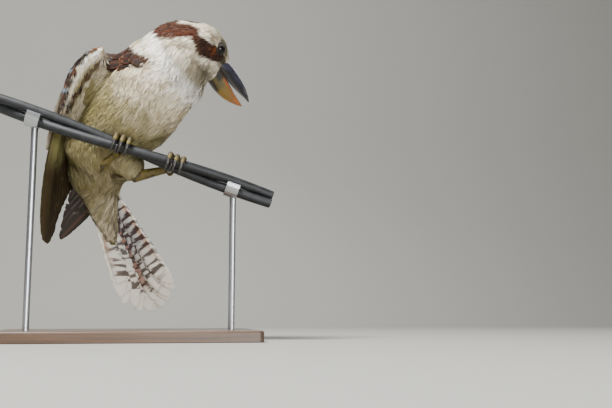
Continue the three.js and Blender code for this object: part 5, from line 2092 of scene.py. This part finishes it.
# Radii, and the shares of them down a toe and a shank
TOE_RADIUS = 2.9
FRONT_SHARES = (1.15, 1, 1, 1, 0.9, 0.78)
HIND_SHARES = (1.15, 1, 0.95, 0.8)
SHANK_RADIUS = 3.4
SHANK_SHARES = {"left": (2.0, 1.4, 1.1), "right": (1.6, 1.25, 1.1)}
CLAW_RADII = (2.2, 1.85, 1.2, 0.25)


def scaled_bar(points, radii, pitch, swell, count=28):
    """A bar ringed by overlapping plates, each thicker at its lower edge."""
    length = np.linalg.norm(np.diff(np.array(points, float), axis=0), axis=1).sum()
    steps = max(24, int(length / pitch * 7))
    centre, side, front, radius = bar_frame(points, radii, steps)
    phase = np.mod(np.linspace(0, length / pitch, steps), 1)
    radius = radius * (1 + swell * (phase - 0.5))
    ends = np.minimum(1, np.sqrt(np.clip(np.linspace(0, length, steps)[::-1] / radius, 0.02, 1)))
    radius = radius * ends
    return loft(ovals(centre, side, front, radius, radius, radius, count))


class BuildFeet(bpy.types.Operator):
    """Make the scaly shanks and toes and the curved claws"""

    bl_idname = "kookaburra.build_feet"
    bl_label = "Feet and claws"

    def execute(self, context):
        skin = leg_material()
        horn = horn_material("horn_black_polished", 0.3, 0.3)
        for side, leg in LEGS.items():
            foot = leg["foot"]
            heel = np.array(leg["heel"], float)
            palm = cable_point(foot, 15.5, 0)
            shank = [heel + (heel - palm) * 0.12, (heel + palm) / 2, palm]
            parts = [scaled_bar(shank, [r * SHANK_RADIUS for r in SHANK_SHARES[side]], 2.4, 0.1)]
            for spread in TOE_SPREADS.values():
                parts.append(self.toe(foot, FRONT_TOE, spread, FRONT_SHARES))
            parts.append(self.toe(foot, HIND_TOE, HIND_SPREAD, HIND_SHARES))
            vertices, faces = joined(parts)
            colours = painted(
                LEG_OLIVE,
                (LEG_YELLOW, mottle(vertices, 3.0, 91)),
                (LEG_DARK, ramp(mottle(vertices, 5.0, 93), 0.45, 0.7) * 0.7),
                # Painted shade darkens the legs higher over the cable, under the belly's feathers.
                (LEG_DARK, ramp(vertices @ CABLE_UP, 3, 9) * 0.6),
            )
            add_piece("foot_skin_" + side, (vertices, faces), skin, "leg_skin", ["foot_" + side], colours)
            claws = [(digit, FRONT_CLAW, spread) for digit, spread in TOE_SPREADS.items()]
            claws.append(("hind", HIND_CLAW, HIND_SPREAD))
            for digit, path, spread in claws:
                points = [cable_point(foot + spread, back, up) for back, up in path]
                claw = bar(points, CLAW_RADII, 24, 30)
                colours = blend(CLAW_BLACK, CLAW_GREY, mottle(claw[0], 2.0, 95) * 0.5)
                name = f"{side}_{digit}"
                add_piece("talon_" + name, claw, horn, "claw", ["claw_" + name], colours)
        return {"FINISHED"}

    def toe(self, foot, path, spread, shares):
        """A toe that spreads out from the foot's middle over its first three joints."""
        points = []
        for i, (back, up) in enumerate(path):
            points.append(cable_point(foot + spread * (0.3 + 0.7 * min(1, i / 3)), back, up))
        return scaled_bar(points, [r * TOE_RADIUS for r in shares], 1.7, 0.16)


# Along a conductor from its sawn end: the rounding of the sheath's edge, and how much it takes off
CABLE_EDGE = np.array([0, 0.15, 0.5])
CABLE_ROUNDING = 0.5
# Strands of metal that show in a conductor's end: radius of each ring, and how many lie on it
CORE_RINGS = ((0.0, 1), (1.55, 6))
CORE_RADII = (0.76, 0.76, 0.7)


class BuildCable(bpy.types.Operator):
    """Make the short cut length of twisted cable"""

    bl_idname = "kookaburra.build_cable"
    bl_label = "Cable"

    def execute(self, context):
        sheath = cable_material(tuple(context.scene.kookaburra_finish.sheath))
        metal = cut_metal_material()
        length = CABLE_END - CABLE_START
        a = np.concatenate([CABLE_EDGE, np.linspace(1, length - 1, 150), length - CABLE_EDGE[::-1]])
        a = a + CABLE_START
        twist = a / CABLE_PITCH * 2 * math.pi
        ends = [CABLE_START, CABLE_START + CABLE_ROUNDING, CABLE_END - CABLE_ROUNDING, CABLE_END]
        radius = CONDUCTOR_RADIUS - np.interp(a, ends, [CABLE_ROUNDING, 0, 0, CABLE_ROUNDING])
        back_way, up_way = (np.tile(way, (len(a), 1)) for way in (CABLE_BACK, CABLE_UP))
        for name, side in (("front", -1), ("back", 1)):
            reach = side * (CONDUCTOR_RADIUS + 0.15)
            back, down = (reach * np.cos(twist))[:, None], (reach * np.sin(twist))[:, None]
            centre = a[:, None] * CABLE_AHEAD + back * CABLE_BACK - down * CABLE_UP
            rings = ovals(centre, back_way, up_way, radius, radius, radius, 56)
            add_piece("sheath_" + name, loft(rings), sheath, "cable_sheath", ["cable_" + name])
            strands = []
            for end, way in ((0, -1), (-1, 1)):
                for ring, number in CORE_RINGS:
                    for k in range(number):
                        turn = 2 * math.pi * k / number
                        out = math.cos(turn) * CABLE_BACK + math.sin(turn) * CABLE_UP
                        middle = centre[end] + ring * out
                        line = [middle - CABLE_AHEAD * way, middle, middle + CABLE_AHEAD * way * 0.12]
                        strands.append(bar(line, CORE_RADII, 14, 5))
            add_piece("core_" + name, joined(strands), metal, "stand_metal")
        return {"FINISHED"}


# The base's corner radius, and its edge upwards: from the underside or the top, height and inset
BASE_CORNER = 6.0
BASE_EDGE = ((0, 0, 0.8), (0, 0.8, 0), (1, -2.2, 0), (1, -1.2, 0.35), (1, -0.4, 1.1), (1, 0, 2.2))


class BuildStand(bpy.types.Operator):
    """Make the wooden base and give the two rods a brushed steel material"""

    bl_idname = "kookaburra.build_stand"
    bl_label = "Display stand"

    def execute(self, context):
        finish = context.scene.kookaburra_finish
        low, high = (np.array(corner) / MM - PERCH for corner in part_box("stand_base"))
        self.base(low, high, wood_material(tuple(finish.wood)))
        steel = steel_material(tuple(finish.steel))
        for name in ("stand_rod_left", "stand_rod_right"):
            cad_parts[name].data.materials.clear()
            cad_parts[name].data.materials.append(steel)
        return {"FINISHED"}

    def base(self, low, high, material):
        """A board with rounded corners and a softened edge."""
        middle = (low + high) / 2
        half = (high - low) / 2
        rings = []
        for top, rise, inset in BASE_EDGE:
            z = (high if top else low)[2] + rise
            ring = []
            for cx, cy, start in ((1, 1, 0), (-1, 1, 90), (-1, -1, 180), (1, -1, 270)):
                for step in range(9):
                    angle = math.radians(start + step * 90 / 8)
                    x = cx * (half[0] - BASE_CORNER) + (BASE_CORNER - inset) * math.cos(angle)
                    y = cy * (half[1] - BASE_CORNER) + (BASE_CORNER - inset) * math.sin(angle)
                    ring.append((middle[0] + x, middle[1] + y, z))
            rings.append(ring)
        add_piece("base_board", loft(np.array(rings)), material, "stand_wood", ["stand_base"], smooth=False)


# The backdrop in section, in millimetres: where the floor starts and ends, the radius of its sweep,
# its top and its half width
FLOOR_FRONT, FLOOR_BACK = -2500.0, 900.0
SWEEP_RADIUS = 600.0
SWEEP_STEPS = 12
BACKDROP_TOP = 3000.0
BACKDROP_HALF = 3500.0
# Soft lights: place and width in metres, the setting with the power, and the share of it
LIGHTS = {
    "key": ((-0.6, -0.7, 1.6), 0.5, "key_power", 1.0),
    "fill": ((0.5, -1.5, 0.1), 0.9, "fill_power", 1.0),
    "rim": ((0.3, 0.9, 1.1), 0.8, "fill_power", 0.2),
}
LIGHT_AIM = (0.0, 0.0, 0.2)
WORLD_COLOUR = (0.9, 0.93, 1.0, 1)
WORLD_STRENGTH = 0.2
# The camera looks at the model as the photo does: place in metres, degrees, and millimetres
CAMERA_PLACE = (0.016, -0.918, 0.028)
CAMERA_UPWARD = 7.754
CAMERA_TURN = -11.16
CAMERA_LENS = 47.93
CAMERA_SENSOR = 36


class BuildStudio(bpy.types.Operator):
    """Set out the pale floor and backdrop, the soft lights and the camera"""

    bl_idname = "kookaburra.build_studio"
    bl_label = "Studio"

    def execute(self, context):
        settings = context.scene.kookaburra_studio
        profile = [(FLOOR_FRONT, 0.0), (FLOOR_BACK, 0.0)]
        for step in range(1, SWEEP_STEPS + 1):
            angle = math.radians(step * 90 / SWEEP_STEPS)
            back, up = math.sin(angle), 1 - math.cos(angle)
            profile.append((FLOOR_BACK + SWEEP_RADIUS * back, SWEEP_RADIUS * up))
        profile.append((FLOOR_BACK + SWEEP_RADIUS, BACKDROP_TOP))
        rows = np.array([[(x, y, z) for x in (-BACKDROP_HALF, BACKDROP_HALF)] for y, z in profile])
        index = np.arange(len(profile) * 2).reshape(-1, 2)
        quads = np.stack([index[:-1, 0], index[:-1, 1], index[1:, 1], index[1:, 0]], 1)
        paper = paper_material(tuple(settings.paper))
        sweep = build_object("backdrop", rows.reshape(-1, 3) - PERCH, [quads], paper)
        for name, (place, size, power, share) in LIGHTS.items():
            self.light(name, place, size, getattr(settings, power) * share)
        world = bpy.data.worlds.get("studio") or bpy.data.worlds.new("studio")
        world.use_nodes = True
        background = world.node_tree.nodes["Background"]
        background.inputs[0].default_value = WORLD_COLOUR
        background.inputs[1].default_value = WORLD_STRENGTH
        context.scene.world = world
        data = bpy.data.cameras.new("camera")
        data.lens = CAMERA_LENS
        data.sensor_width = CAMERA_SENSOR
        data.clip_start = 0.01
        camera = bpy.data.objects.new("camera", data)
        camera.location = CAMERA_PLACE
        camera.rotation_euler = (math.radians(90 + CAMERA_UPWARD), 0, math.radians(CAMERA_TURN))
        context.collection.objects.link(camera)
        context.scene.camera = camera
        return {"FINISHED"}

    def light(self, name, place, size, power):
        data = bpy.data.lights.new(name, "AREA")
        data.size = size
        data.energy = power
        lamp = bpy.data.objects.new(name, data)
        lamp.location = place
        aim = Vector(LIGHT_AIM) - Vector(place)
        lamp.rotation_euler = aim.to_track_quat("-Z", "Y").to_euler()
        bpy.context.collection.objects.link(lamp)


STEPS = (
    BuildSkin,
    LayCoat,
    BuildBack,
    BuildWings,
    BuildTail,
    BuildBill,
    BuildEyes,
    BuildFeet,
    BuildCable,
    BuildStand,
    BuildStudio,
)
GROUPS = {
    "kookaburra_plumage": PlumageSettings,
    "kookaburra_finish": FinishSettings,
    "kookaburra_studio": StudioSettings,
}


class KookaburraPanel(bpy.types.Panel):
    """Lists the pieces of the model and the settings that they use"""

    bl_idname = "VIEW3D_PT_kookaburra"
    bl_label = "Kookaburra"
    bl_space_type = "VIEW_3D"
    bl_region_type = "UI"
    bl_category = "Kookaburra"

    def draw(self, context):
        for group, kind in GROUPS.items():
            box = self.layout.box()
            for name in kind.__annotations__:
                box.prop(getattr(context.scene, group), name)
        for step in STEPS:
            self.layout.operator(step.bl_idname)


def register():
    for kind in (*GROUPS.values(), *STEPS, KookaburraPanel):
        bpy.utils.register_class(kind)
    for name, kind in GROUPS.items():
        setattr(bpy.types.Scene, name, PointerProperty(type=kind))


def unregister():
    for name in GROUPS:
        delattr(bpy.types.Scene, name)
    for kind in (KookaburraPanel, *reversed(STEPS), *GROUPS.values()):
        bpy.utils.unregister_class(kind)


def main():
    register()
    for step in STEPS:
        family, name = step.bl_idname.split(".")
        getattr(getattr(bpy.ops, family), name)()


if __name__ == "__main__":
    main()
